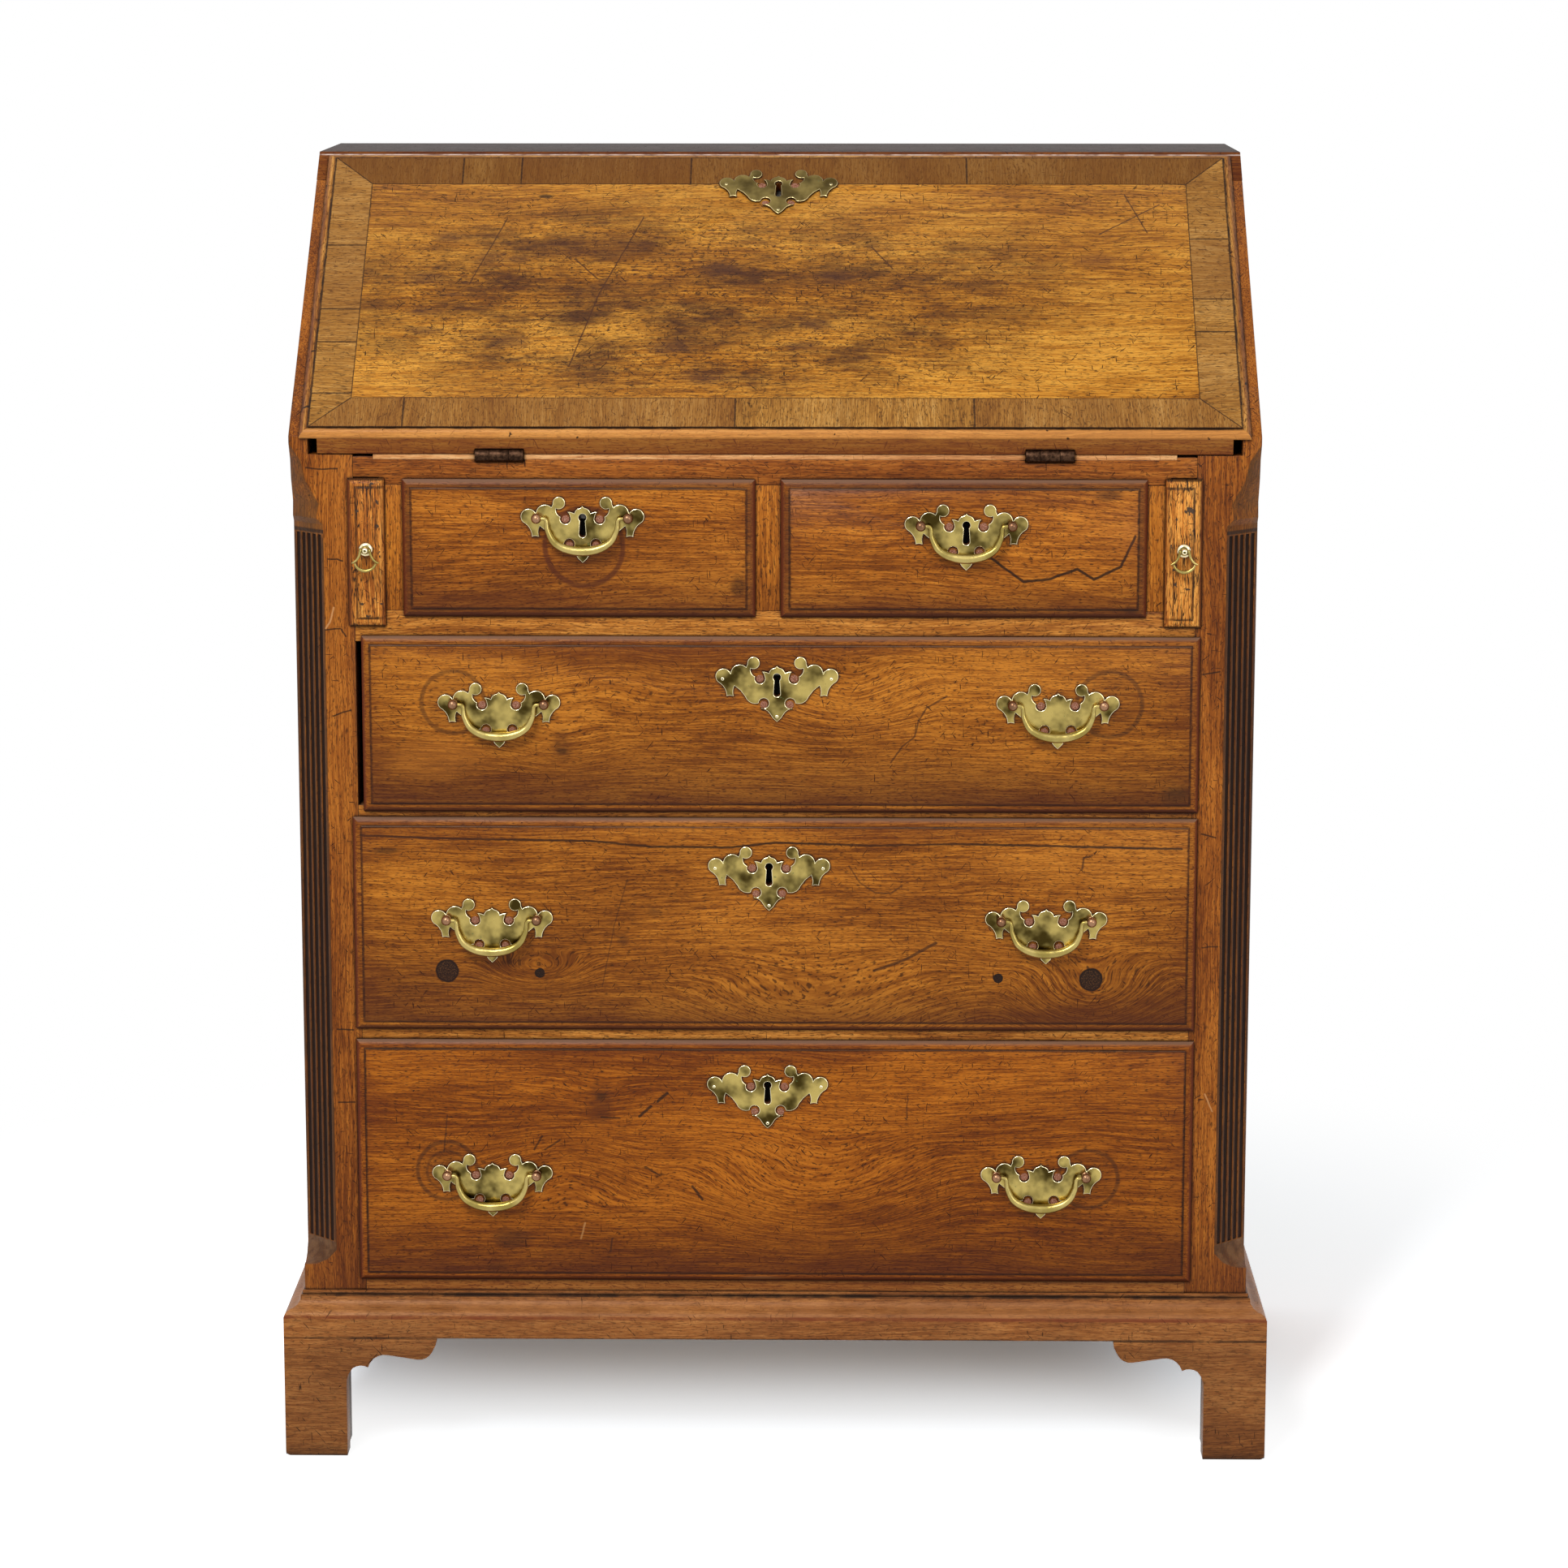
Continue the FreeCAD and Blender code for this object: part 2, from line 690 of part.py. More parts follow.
def foot_bracket(to_space, along):
    """A bracket foot from its outer corner, worn round below: straight leg, then the wing under the base."""
    w = foot_leg_width
    wing = foot_width - foot_leg_width
    h = carcass_bottom
    worn = foot_corner

    def at(share, height):
        return w + share * wing, height

    points = chords((0, worn), [
        ((0.29 * worn, 0.29 * worn), (worn, 0)),
        (at(0, 0),),
        (at(0, 0.59 * h),),
        (at(0.018, 0.68 * h), at(0.07, 0.742 * h)),
        (at(0.14, 0.764 * h), at(0.24, 0.750 * h)),
        (at(0.265, 0.790 * h),),
        (at(0.34, 0.842 * h), at(0.468, 0.854 * h)),
        (at(0.64, 0.837 * h), at(0.785, 0.818 * h)),
        (at(0.90, 0.840 * h), at(0.95, 0.885 * h)),
        (at(0.985, 0.935 * h), at(1, h)),
        ((0, h),),
    ], foot_step)
    return section(points, to_space, along)


def build_feet():
    x = half_width + base_projection
    y = -base_projection
    t = foot_thickness
    h = carcass_bottom
    over = foot_width + 1
    front = foot_bracket(lambda u, v: V(x - u, y, v), V(0, t, 0))
    side = foot_bracket(lambda u, v: V(x, y + u, v), V(-t, 0, 0))
    mitre = prism([V(x, y, -1), V(x - t, y + t, -1), V(x - t, y + over, -1), V(x, y + over, -1)],
                  V(0, 0, h + 2))
    block = box(x - t - foot_block_size, x - t, y + t, y + t + foot_block_size, foot_block_lift, h)
    rear_side = foot_bracket(lambda u, v: V(x, case_depth - u, v), V(-t, 0, 0))
    rear_board = prism([V(a, case_depth - rear_board_thickness, b) for a, b in (
        (x - t, 0), (x - t, h), (x - t - rear_board_width, h), (x - t - rear_board_foot, 0))],
        V(0, rear_board_thickness, 0))
    rear_block = box(x - t - foot_block_size, x - t, case_depth - rear_board_thickness - foot_block_size,
                     case_depth - rear_board_thickness, foot_block_lift, h)
    right = [front.cut(mitre), side.common(mitre), block, rear_side, rear_board, rear_block]
    add("bracket_feet", *right, *[mirrored(piece) for piece in right])


# Fall

def build_fall():
    relief = deck_level + fall_deck_gap - slant_height
    low_s = hinge_s + hinge_edge_gap
    body = prism([V(-fall_body_half_width, s, n) for s, n in (
        (fall_low, lip_seat), (low_s, (relief - slant_sin * low_s) / slant_cos),
        ((relief - slant_cos * fall_inner) / slant_sin, fall_inner),
        (fall_body_high, fall_inner), (fall_body_high, lip_seat))], V(2 * fall_body_half_width, 0, 0))
    field_u = fall_half_width - lip_width
    field_low = fall_low + lip_width
    field_high = fall_high - lip_width
    slab = box(-field_u, field_u, field_low, field_high, lip_seat, fall_outer)
    panel = body.fuse(slab).removeSplitter()

    band = frame_strips(-field_u, field_u, field_low, field_high, band_width,
                        fall_outer - band_thickness, fall_outer)
    for strip in band:
        panel = panel.cut(strip)

    half = hinge_length / 2
    leaf_top = fall_inner + hinge_leaf_thickness
    barrel = bore(-half - hinge_recess, half + hinge_recess, hinge_radius + hinge_recess, barrel_sides)
    for side in (-1, 1):
        x = side * hinge_place
        panel = panel.cut(barrel.translated(V(x, hinge_s, hinge_n)))
        panel = panel.cut(box(x - half, x + half, hinge_s, hinge_s + hinge_leaf_length,
                              fall_inner - 1, leaf_top))

    case, slot, bolt = lock_pieces(fall_body_high)
    seat = V(0, 0, fall_inner + front_thickness)
    case = case.cut(slot).translated(seat)
    panel = panel.cut(box(-lock_width / 2, lock_width / 2, fall_body_high - lock_height, fall_body_high + 1,
                          fall_inner - 1, fall_inner + lock_thickness))
    key_s = fall_body_high - lock_height / 2 + 1.5
    keyhole = keyhole_prism(2 * fall_thickness).translated(V(0, key_s, 0))
    panel = panel.cut(keyhole)
    add("fall_panel", on_slant(panel))
    add("fall_crossbanding", *[on_slant(strip.cut(keyhole)) for strip in band])

    edging = moulded_slab(-fall_half_width, fall_half_width, fall_low, fall_high)
    field = box(-field_u, field_u, field_low, field_high, 0, 2 * fall_outer)
    edging = edging.translated(V(0, 0, lip_seat)).cut(field)
    wedges = frame_strips(-fall_half_width, fall_half_width, fall_low, fall_high,
                          lip_width, 0, 2 * fall_outer)
    add("fall_lip_moulding", *[on_slant(edging.common(wedge)) for wedge in wedges])

    plate = bat_wing_plate(True).translated(V(0, key_s, fall_outer))
    add("fall_brassware", on_slant(plate), on_slant(case))
    add("fall_lock_bolt", on_slant(bolt.translated(seat)))


def build_hinges():
    """Butts about the fall's axis: the fall's leaf has the middle knuckle, the case's the outer two."""
    half = hinge_length / 2
    inner = hinge_middle / 2
    outer = inner + hinge_knuckle_gap
    clear = hinge_radius + hinge_recess
    low = hinge_sink - hinge_leaf_thickness
    pin = rod(-half, half, hinge_pin_radius, turned_sides)
    pin_room = bore(-half, half, hinge_pin_radius + running_clearance, turned_sides)

    def leaf(knuckles):
        """A flat leaf along +y with its face one sink above the axis, and tongues to its knuckles."""
        plate = box(-half, half, clear, hinge_leaf_length, low, hinge_sink)
        for x0, x1 in knuckles:
            tongue = box(x0, x1, 0, clear, low, hinge_sink)
            plate = plate.fuse(tongue).fuse(rod(x0, x1, hinge_radius, barrel_sides))
        return plate.cut(pin_room).removeSplitter()

    case_leaf = leaf([(-half, -outer), (outer, half)])
    fall_leaf = leaf([(-inner, inner)])
    fall_leaf.rotate(V(0, 0, 0), V(0, 1, 0), 180)
    fall_leaf.rotate(V(0, 0, 0), V(1, 0, 0), slant_angle)
    on_case = []
    on_fall = []
    for side in (-1, 1):
        place = V(side * hinge_place, hinge_y, hinge_z)
        on_case += [case_leaf.translated(place), pin.translated(place)]
        on_fall.append(fall_leaf.translated(place))
    add("hinge_case_leaves", *on_case)
    add("fall_hinge_leaves", *on_fall)


# Drawers

def build_drawer(name, x0, x1, z0, z1, lost_left, plates, plate_rise, key_x, key_drop, plate_is_lock):
    """A lipped drawer in the opening x0..x1, z0..z1, with its dovetailed box, brasses and lock."""
    left_lip = -lost_lip_gap if lost_left else lip_overlap
    slab = moulded_slab(x0 - left_lip, x1 + lip_overlap, z0 - lip_overlap, z1 + lip_overlap)
    left = x0 + drawer_side_clear + (lost_lip_gap if lost_left else 0)
    right = x1 - drawer_side_clear
    top = z1 - drawer_top_clear
    body = box(left, right, -lip_seat, front_thickness, z0 + drawer_front_lift, top)
    front = on_front(slab, 0, -lip_seat, 0).fuse(body).removeSplitter()

    side_low = z0 + lip_seat
    side_top = top - 1
    pitch = (side_top - side_low) / tail_count
    root = 0.25 * pitch
    boards = []
    for x in (left, right - drawer_side):
        board = box(x, x + drawer_side, front_thickness, drawer_length, side_low, side_top)
        for i in range(tail_count):
            middle = side_low + (i + 0.5) * pitch
            board = board.fuse(prism([V(x, y, z) for y, z in (
                (front_thickness, middle - root), (front_thickness, middle + root),
                (front_thickness - tail_length, middle + root + tail_flare),
                (front_thickness - tail_length, middle - root - tail_flare))], V(drawer_side, 0, 0)))
        boards.append(board.removeSplitter())
    floor_z = z0 + drawer_bottom_lift
    floor = box(left + drawer_side - drawer_groove, right - drawer_side + drawer_groove,
                front_thickness - drawer_groove, drawer_length, floor_z, floor_z + drawer_bottom)
    for board in boards:
        front = front.cut(board)
    boards = [board.cut(floor) for board in boards]
    front = front.cut(floor)
    back = box(left + drawer_side, right - drawer_side, drawer_length - drawer_side, drawer_length,
               floor_z + drawer_bottom, side_top - drawer_top_clear)

    key_z = z1 - key_drop
    case, slot, bolt = lock_pieces(top)
    case = on_front(case.cut(slot), key_x, 0, 0)
    bolt = on_front(bolt, key_x, 0, 0)
    front = front.cut(box(key_x - lock_width / 2, key_x + lock_width / 2, front_thickness - lock_thickness,
                          front_thickness + 1, top - lock_height, top + 1))
    front = front.cut(on_front(keyhole_prism(2 * front_thickness), key_x, 0, key_z))

    brass = [case]
    post_z = key_z if plate_is_lock else (z0 + z1) / 2 + plate_rise
    if not plate_is_lock:
        brass.append(on_front(bat_wing_plate(True), key_x, -field_proud, key_z))
    for i, x in enumerate(plates):
        brass.append(on_front(bat_wing_plate(plate_is_lock), x, -field_proud, post_z))
        for side in (-1, 1):
            brass.append(on_front(bail_post(side), x, -field_proud, post_z))
        suffix = "" if len(plates) == 1 else ("_left", "_right")[i]
        add(name + "_bail" + suffix,
            on_front(bail(), x, -field_proud - plate_thickness - bail_stand, post_z))
    add(name + "_front", front)
    add(name + "_box", *boards, back, floor)
    add(name + "_brassware", *brass)
    add(name + "_lock_bolt", bolt)


def build_drawers():
    build_drawer("short_drawer_left", -short_outer, divider_left, short_bottom, short_top, False,
                 [-short_plate_place], 0, -short_plate_place, short_key_drop_left, True)
    build_drawer("short_drawer_right", divider_right, short_outer, short_bottom, short_top, False,
                 [short_plate_place], 0, short_plate_place, short_key_drop_right, True)
    for name, z0, z1, lost_left, brass in (
            ("long_drawer_1", long_1_bottom, long_1_top, True, long_brass_1),
            ("long_drawer_2", long_2_bottom, long_2_top, False, long_brass_2),
            ("long_drawer_3", long_3_bottom, long_3_top, False, long_brass_3)):
        shift, rise, key_x, key_drop = brass
        places = [shift - long_plate_place, shift + long_plate_place]
        build_drawer(name, -opening_half, opening_half, z0, z1, lost_left,
                     places, rise, key_x, key_drop, False)


# Lopers

def build_lopers():
    low = loper_floor + lip_seat
    bar = box(loper_inner + loper_clear, opening_half - loper_clear, -lip_seat, loper_length, low, loper_top)
    head = moulded_slab(loper_inner - lip_overlap, opening_half + lip_overlap,
                        loper_floor - lip_overlap, loper_top)
    bar = bar.fuse(on_front(head, 0, -lip_seat, 0)).removeSplitter()
    peg_z = (short_bottom + short_top) / 2
    reach = partition_thickness
    peg = rod(loper_inner + loper_clear - reach, loper_inner + loper_clear, loper_peg_radius, turned_sides)
    peg = peg.translated(V(0, loper_peg_place, peg_z))
    middle = loper_inner + loper_opening_width / 2
    pull_z = loper_floor + loper_pull_rise
    rose = turned([(0, rose_radius), (1.2, rose_radius), (2.4, 2.3), (drop_stand + 1.6, 2.3),
                   (drop_stand + 2.4, 1.2)])
    rose = rose.cut(bore(-rose_radius, rose_radius, drop_pin_radius + running_clearance, turned_sides)
                    .translated(V(0, 0, drop_stand)))
    drop = drop_pull()
    for name, x in (("loper_left", -middle), ("loper_right", middle)):
        add(name, *[piece if x > 0 else mirrored(piece) for piece in (bar, peg)])
        add(name + "_rose", on_front(rose, x, -field_proud, pull_z))
        add(name + "_drop", on_front(drop, x, -field_proud - drop_stand, pull_z))


def drop_pull():
    """An anchor-shaped drop: a pin between two out-curved arms, and a crescent grip below them."""
    start = (3.0, 1.7)
    right = [
        ((4.6, -4.0), (10.0, -10.2)),
        ((9.6, -11.8),),
        ((8.4, -12.0),),
        ((5.8, -15.8), (0.0, -17.6)),
    ]
    outer = chords(start, right, round_step)
    left = [(-u, v) for u, v in reversed(outer[:-1])]
    body = prism([V(u, v, -drop_thickness / 2) for u, v in outer + left], V(0, 0, drop_thickness))
    hole_right = chords((2.7, 3.0), [((3.0, -4.2), (6.3, -10.6)), ((4.4, -13.4), (0.0, -14.8))], round_step)
    hole_left = [(-u, v) for u, v in reversed(hole_right[:-1])]
    hole = prism([V(u, v, -drop_thickness) for u, v in hole_right + hole_left], V(0, 0, 2 * drop_thickness))
    pin = rod(-2.9, 2.9, drop_pin_radius, turned_sides)
    return body.cut(hole).fuse(pin)


# Pigeonhole fitting behind the fall

def build_fitting():
    fall_back_y = slant_cos * fall_body_high - slant_sin * fall_inner
    y0 = max(slope_run - fitting_set_back, fall_back_y + fitting_fall_clear)
    shelf_z = deck_level + fitting_drawer_height
    t = fitting_board
    end = inner_half - t
    boards = [box(-inner_half, -end, y0, back_y, deck_level, top_under),
              box(end, inner_half, y0, back_y, deck_level, top_under),
              box(-end, end, y0, back_y, shelf_z, shelf_z + t)]
    bay = (2 * end - (fitting_drawer_count - 1) * t) / fitting_drawer_count
    for i in range(1, fitting_drawer_count):
        left = -end + i * (bay + t) - t
        boards.append(box(left, left + t, y0, back_y, deck_level, shelf_z))
    hole = (2 * end - (pigeonhole_count - 1) * t) / pigeonhole_count
    for i in range(pigeonhole_count):
        left = -end + i * (hole + t)
        if i:
            boards.append(box(left - t, left, y0, back_y, shelf_z + t, top_under))
        boards.append(valance(left, hole, y0))
    add("pigeonholes", *boards)

    for i, side in enumerate(("left", "centre", "right")[:fitting_drawer_count]):
        left = -end + i * (bay + t)
        add("fitting_drawer_" + side, *fitting_drawer(left, left + bay, y0, deck_level, shelf_z))


def valance(left, width, y0):
    """An arched apron across the head of a pigeonhole, springing from a small step at each end."""
    foot = valance_foot
    rise = valance_height - foot
    low = top_under - valance_height
    spring = low + 0.35 * rise
    points = chords((left, top_under), [
        ((left, low),),
        ((left + foot, low),),
        ((left + foot, spring),),
        ((left + width / 2, low + rise), (left + width - foot, spring)),
        ((left + width - foot, low),),
        ((left + width, low),),
        ((left + width, top_under),),
    ], moulding_step)
    return prism([V(x, y0, z) for x, z in points], V(0, valance_thickness, 0))


def fitting_drawer(x0, x1, y0, z0, z1):
    """A small drawer of the fitting: front, two sides, back, bottom and a turned knob."""
    c = fitting_drawer_clear
    left = x0 + c
    right = x1 - c
    low = z0 + lip_seat
    top = z1 - c
    box_y = y0 + fitting_front
    end = y0 + fitting_drawer_length
    s = fitting_side
    knob_x = (left + right) / 2
    knob_z = (low + top) / 2
    front = box(left, right, y0, box_y, low, top)
    knob = turned([(0, 4.6), (2.2, 2.6), (5.0, 2.8), (7.6, 6.0), (10.2, 6.0), (12.2, 3.4)])
    return [front, on_front(knob, knob_x, y0, knob_z),
            box(left, left + s, box_y, end, low, top - 1), box(right - s, right, box_y, end, low, top - 1),
            box(left + s, right - s, end - s, end, low, top - 3),
            box(left + s, right - s, box_y, end - s, low, low + fitting_floor)]


build_sides()
build_top()
build_back_and_floors()
build_corner_posts()
build_rails()
build_dividers()
build_runners()
build_base()
build_feet()
build_fall()
build_hinges()
build_drawers()
build_lopers()
build_fitting()

os.makedirs("parts", exist_ok=True)
for name, shape in nodes.items():
    shape.exportStep("parts/" + name + ".step")
print(len(nodes), "nodes written")
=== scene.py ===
import json
import math

import bmesh
import bpy
from mathutils import Matrix, Vector

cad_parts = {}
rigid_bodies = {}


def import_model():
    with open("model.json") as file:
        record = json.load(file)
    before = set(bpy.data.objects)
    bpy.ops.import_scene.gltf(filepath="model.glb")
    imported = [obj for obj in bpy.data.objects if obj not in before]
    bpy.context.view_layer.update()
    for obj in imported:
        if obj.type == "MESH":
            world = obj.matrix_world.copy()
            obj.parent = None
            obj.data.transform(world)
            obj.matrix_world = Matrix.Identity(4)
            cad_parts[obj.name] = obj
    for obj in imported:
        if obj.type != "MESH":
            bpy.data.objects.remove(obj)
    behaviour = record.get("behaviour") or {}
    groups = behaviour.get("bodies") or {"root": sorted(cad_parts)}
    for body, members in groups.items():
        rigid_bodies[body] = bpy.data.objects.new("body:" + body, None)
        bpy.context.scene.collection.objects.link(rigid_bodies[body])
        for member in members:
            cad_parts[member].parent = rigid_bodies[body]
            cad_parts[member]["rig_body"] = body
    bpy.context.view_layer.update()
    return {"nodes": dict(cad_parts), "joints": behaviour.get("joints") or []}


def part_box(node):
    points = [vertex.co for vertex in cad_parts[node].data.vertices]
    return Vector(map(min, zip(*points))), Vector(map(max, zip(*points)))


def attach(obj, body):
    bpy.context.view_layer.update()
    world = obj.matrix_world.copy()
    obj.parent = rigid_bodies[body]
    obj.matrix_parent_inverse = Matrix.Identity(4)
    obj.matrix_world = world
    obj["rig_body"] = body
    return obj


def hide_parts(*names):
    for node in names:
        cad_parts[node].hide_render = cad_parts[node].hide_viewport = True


# A slant-front bureau in worn, waxed wood with old brasses, photographed on a white floor.
# Metres, +Z up, front towards -Y. Places on the fronts are (x, z) and places on the fall are (x, s),
# where s is the distance up the slope from the line where the slope meets the front.

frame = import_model()
nodes = frame["nodes"]
joints = {joint["name"]: joint for joint in frame["joints"]}

MM = 0.001

# Camera, matched to the photograph
camera_place = (0.0581, -3.7392, 1.2061)
camera_pitch = 0.1827
camera_yaw = 0.0143
camera_lens = 104.59
camera_sensor = 36.0

# Lines of the case that the finishes are set out from
front_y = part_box("corner_post_left")[0].y
case_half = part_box("corner_post_right")[1].x
cant_leg = 26.0 * MM
flute_low = 0.175
flute_high = 0.749
flutes_half = 15.8 * MM
stile_depth = 30.0 * MM
base_proud = 12.0 * MM
bracket_thickness = 20.0 * MM
front_thickness = 14.0 * MM
lip_width = 7.0 * MM
slope_foot_z = 0.827
slope = math.pi - math.radians(joints["fall_hinge"]["range_deg"][1])
slope_cos = math.cos(slope)
slope_sin = math.sin(slope)

# Lines of the fall and the top, in x and s
band_half = 364.5 * MM
band_low = 4.0 * MM
band_high = 312.0 * MM
band_width = 32.0 * MM
fall_middle = 158.0 * MM
fall_back = -12.2 * MM
fall_lock_top = 300.0 * MM
top_line = 322.2 * MM

# Brasses
plate_thickness = 1.6 * MM
plate_bevel = 0.62 * MM
field_proud = 6.3 * MM
post_spacing = 71.5 * MM
post_stand = 6.5 * MM
ball_radius = 4.1 * MM
key_eye = 3.0 * MM
key_drop = 15.5 * MM
lock_width = 56.0 * MM
lock_height = 44.0 * MM
lock_depth = 9.0 * MM
lock_cover = 4.9 * MM
bolt_slot = 9.3 * MM
bolt_room = 26.0 * MM
escutcheons = {
    "long_drawer_1": (0.0020, 0.63798),
    "long_drawer_2": (-0.0043, 0.48598),
    "long_drawer_3": (-0.0056, 0.30798),
}
fall_key = (0.0, 0.2795)
drawer_names = ["short_drawer_left", "short_drawer_right", "long_drawer_1", "long_drawer_2", "long_drawer_3"]

# Angles of edges that are shaded sharp, of edges that are eased and of faces that count as flat
sharp_turn = math.radians(38)
eased_turn = math.radians(35)
flat_turn = math.radians(0.5)

# A direction's share above which a face looks that way
facing_share = 0.6

# Studio: the floor's half size, its whiteness for rays that look at it and its grey for the others, the half
# sizes of its cool patch, the distances over which it turns to plain white all round and towards the front
floor_half = 9.0
floor_drop = 0.3 * MM
floor_white = 2.5
floor_grey = 0.75
floor_cool = (0.45, 0.26)
floor_fade = (0.62, 1.15)
floor_ahead = (0.12, -0.20)
floor_ahead_share = 0.93
world_strength = 0.34


def mm(*lengths):
    """Lengths in millimetres, as metres."""
    return tuple(length * MM for length in lengths)


def mm_rows(rows):
    return [mm(*row) for row in rows]


def srgb(red, green, blue):
    """A colour read in 0 to 255 screen values, as linear light."""
    return tuple((c / 255 / 12.92 if c < 10.3 else ((c / 255 + 0.055) / 1.055) ** 2.4)
                 for c in (red, green, blue)) + (1.0,)


def tone_set(*colours):
    """A run of colours: of a wood, its deep, dark, middle and light ones."""
    return [srgb(*colour) for colour in colours]


# Colours read off the photograph

white = (1.0, 1.0, 1.0, 1.0)
soot = srgb(30, 18, 11)
umber = srgb(56, 31, 17)
fresh_wood = srgb(196, 140, 84)
case_tones = tone_set((52, 24, 8), (102, 49, 12), (147, 80, 23), (184, 110, 37))
rail_tones = tone_set((60, 30, 8), (128, 69, 20), (180, 111, 39), (217, 146, 64))
top_rail_tones = tone_set((50, 23, 8), (104, 50, 13), (147, 80, 25), (182, 109, 40))
drawer_tones = tone_set((54, 26, 7), (110, 56, 11), (158, 91, 23), (196, 122, 38))
small_tones = tone_set((54, 26, 7), (116, 59, 12), (168, 96, 25), (206, 128, 41))
low_drawer_tones = tone_set((50, 23, 5), (104, 48, 7), (150, 80, 14), (188, 109, 27))
fall_tones = tone_set((48, 25, 10), (138, 81, 20), (194, 126, 38), (226, 160, 62))
band_tones = tone_set((60, 36, 13), (134, 85, 30), (182, 127, 54), (216, 163, 88))
lip_tones = tone_set((58, 31, 11), (126, 72, 24), (178, 116, 48), (214, 154, 78))
loper_tones = tone_set((66, 34, 11), (152, 82, 27), (214, 132, 50), (246, 172, 80))
base_tones = tone_set((46, 26, 12), (110, 60, 25), (156, 95, 45), (190, 127, 68))
strip_tones = tone_set((120, 70, 36), (182, 118, 68), (214, 150, 92), (234, 180, 122))
second_tones = tone_set((84, 58, 38), (142, 106, 70), (172, 134, 92), (196, 160, 118))
fitting_tones = tone_set((58, 32, 18), (112, 64, 30), (144, 86, 40), (170, 108, 54))


def operator(operation, turned=False):
    """A sum of a wire and perhaps another value, as a method of the wire."""
    def work(wire, *other):
        return wire.graph.math(operation, *((*other, wire) if turned else (wire, *other)))
    return work


class Wire:
    """An output in a node tree. A sum of wires adds the nodes that work it out."""

    __add__ = operator("ADD")
    __radd__ = operator("ADD", turned=True)
    __sub__ = operator("SUBTRACT")
    __rsub__ = operator("SUBTRACT", turned=True)
    __mul__ = operator("MULTIPLY")
    __gt__ = operator("GREATER_THAN")
    __lt__ = operator("LESS_THAN")
    __abs__ = operator("ABSOLUTE")

    def __init__(self, graph, socket):
        self.graph = graph
        self.socket = socket

    def step(self, low, high, start=0.0, end=1.0):
        """A smooth change from start to end as the value goes from low to high."""
        return self.graph.make("ShaderNodeMapRange", {0: self, 1: low, 2: high, 3: start, 4: end},
                               interpolation_type="SMOOTHSTEP")

    def near(self, place, inner, outer, share):
        """The whole share within the inner distance of a place, and 0 beyond the outer one."""
        return abs(self - place).step(inner, outer, share, 0.0)

    def coat(self, share, *paint):
        """This colour with a share of another over it, given as a colour or as screen values."""
        return self.graph.mix(share, self, srgb(*paint) if len(paint) == 3 else paint[0])


class Graph:
    """A node tree: each method adds a node and gives its output."""

    def __init__(self, tree):
        self.tree = tree

    def feed(self, node, inputs):
        for key, value in inputs.items():
            if isinstance(value, Wire):
                self.tree.links.new(value.socket, node.inputs[key])
            else:
                node.inputs[key].default_value = value

    def add(self, kind, inputs, **settings):
        """Adds a node and gives the node itself."""
        node = self.tree.nodes.new(kind)
        for key, value in settings.items():
            setattr(node, key, value)
        self.feed(node, inputs)
        return node

    def make(self, kind, inputs, out=0, **settings):
        return Wire(self, self.add(kind, inputs, **settings).outputs[out])

    def math(self, operation, *values, clamp=False):
        return self.make("ShaderNodeMath", dict(enumerate(values)), operation=operation, use_clamp=clamp)

    def vector(self, operation, *values):
        out = "Value" if operation in ("DOT_PRODUCT", "LENGTH") else "Vector"
        return self.make("ShaderNodeVectorMath", dict(enumerate(values)), out, operation=operation)

    def scaled(self, vector, rate):
        return self.make("ShaderNodeVectorMath", {0: vector, "Scale": rate}, operation="SCALE")

    def least(self, first, *others):
        for other in others:
            first = self.math("MINIMUM", first, other)
        return first

    def most(self, first, *others):
        for other in others:
            first = self.math("MAXIMUM", first, other)
        return first

    def split(self, vector):
        return [Wire(self, socket) for socket in self.add("ShaderNodeSeparateXYZ", {0: vector}).outputs]

    def combine(self, x, y, z):
        return self.make("ShaderNodeCombineXYZ", {0: x, 1: y, 2: z})

    def choose(self, factor, low, high):
        """A number between two others."""
        return self.make("ShaderNodeMix", {0: factor, 2: low, 3: high})

    def mix(self, factor, low, high, blend="MIX"):
        """A colour between two others."""
        return self.make("ShaderNodeMix", {0: factor, 6: low, 7: high}, 2, data_type="RGBA", blend_type=blend)

    def noise(self, vector, detail=2.0, rough=0.5, out=0):
        inputs = {"Vector": vector, "Scale": 1.0, "Detail": detail, "Roughness": rough}
        return self.make("ShaderNodeTexNoise", inputs, out)

    def lines(self, height, detail, rough):
        """Uneven bands along a height."""
        inputs = {"W": height, "Scale": 1.0, "Detail": detail, "Roughness": rough}
        return self.make("ShaderNodeTexNoise", inputs, noise_dimensions="1D")

    def ramp(self, factor, stops):
        """A colour from a run of three (place, colour) stops."""
        node = self.add("ShaderNodeValToRGB", {0: factor})
        elements = node.color_ramp.elements
        elements.new(1.0)
        for element, (place, colour) in zip(elements, stops):
            element.position = place
            element.color = colour
        return Wire(self, node.outputs[0])

    def hollow(self, distance):
        """How deep in a corner a point lies, 0 in the open."""
        return 1.0 - self.make("ShaderNodeAmbientOcclusion", {"Distance": distance}, "AO", samples=6)

    def group(self, kind, **values):
        return self.make("ShaderNodeGroup", values, node_tree=kind)

    def bump(self, height, distance, strength):
        return self.make("ShaderNodeBump", {"Strength": strength, "Distance": distance, "Height": height})


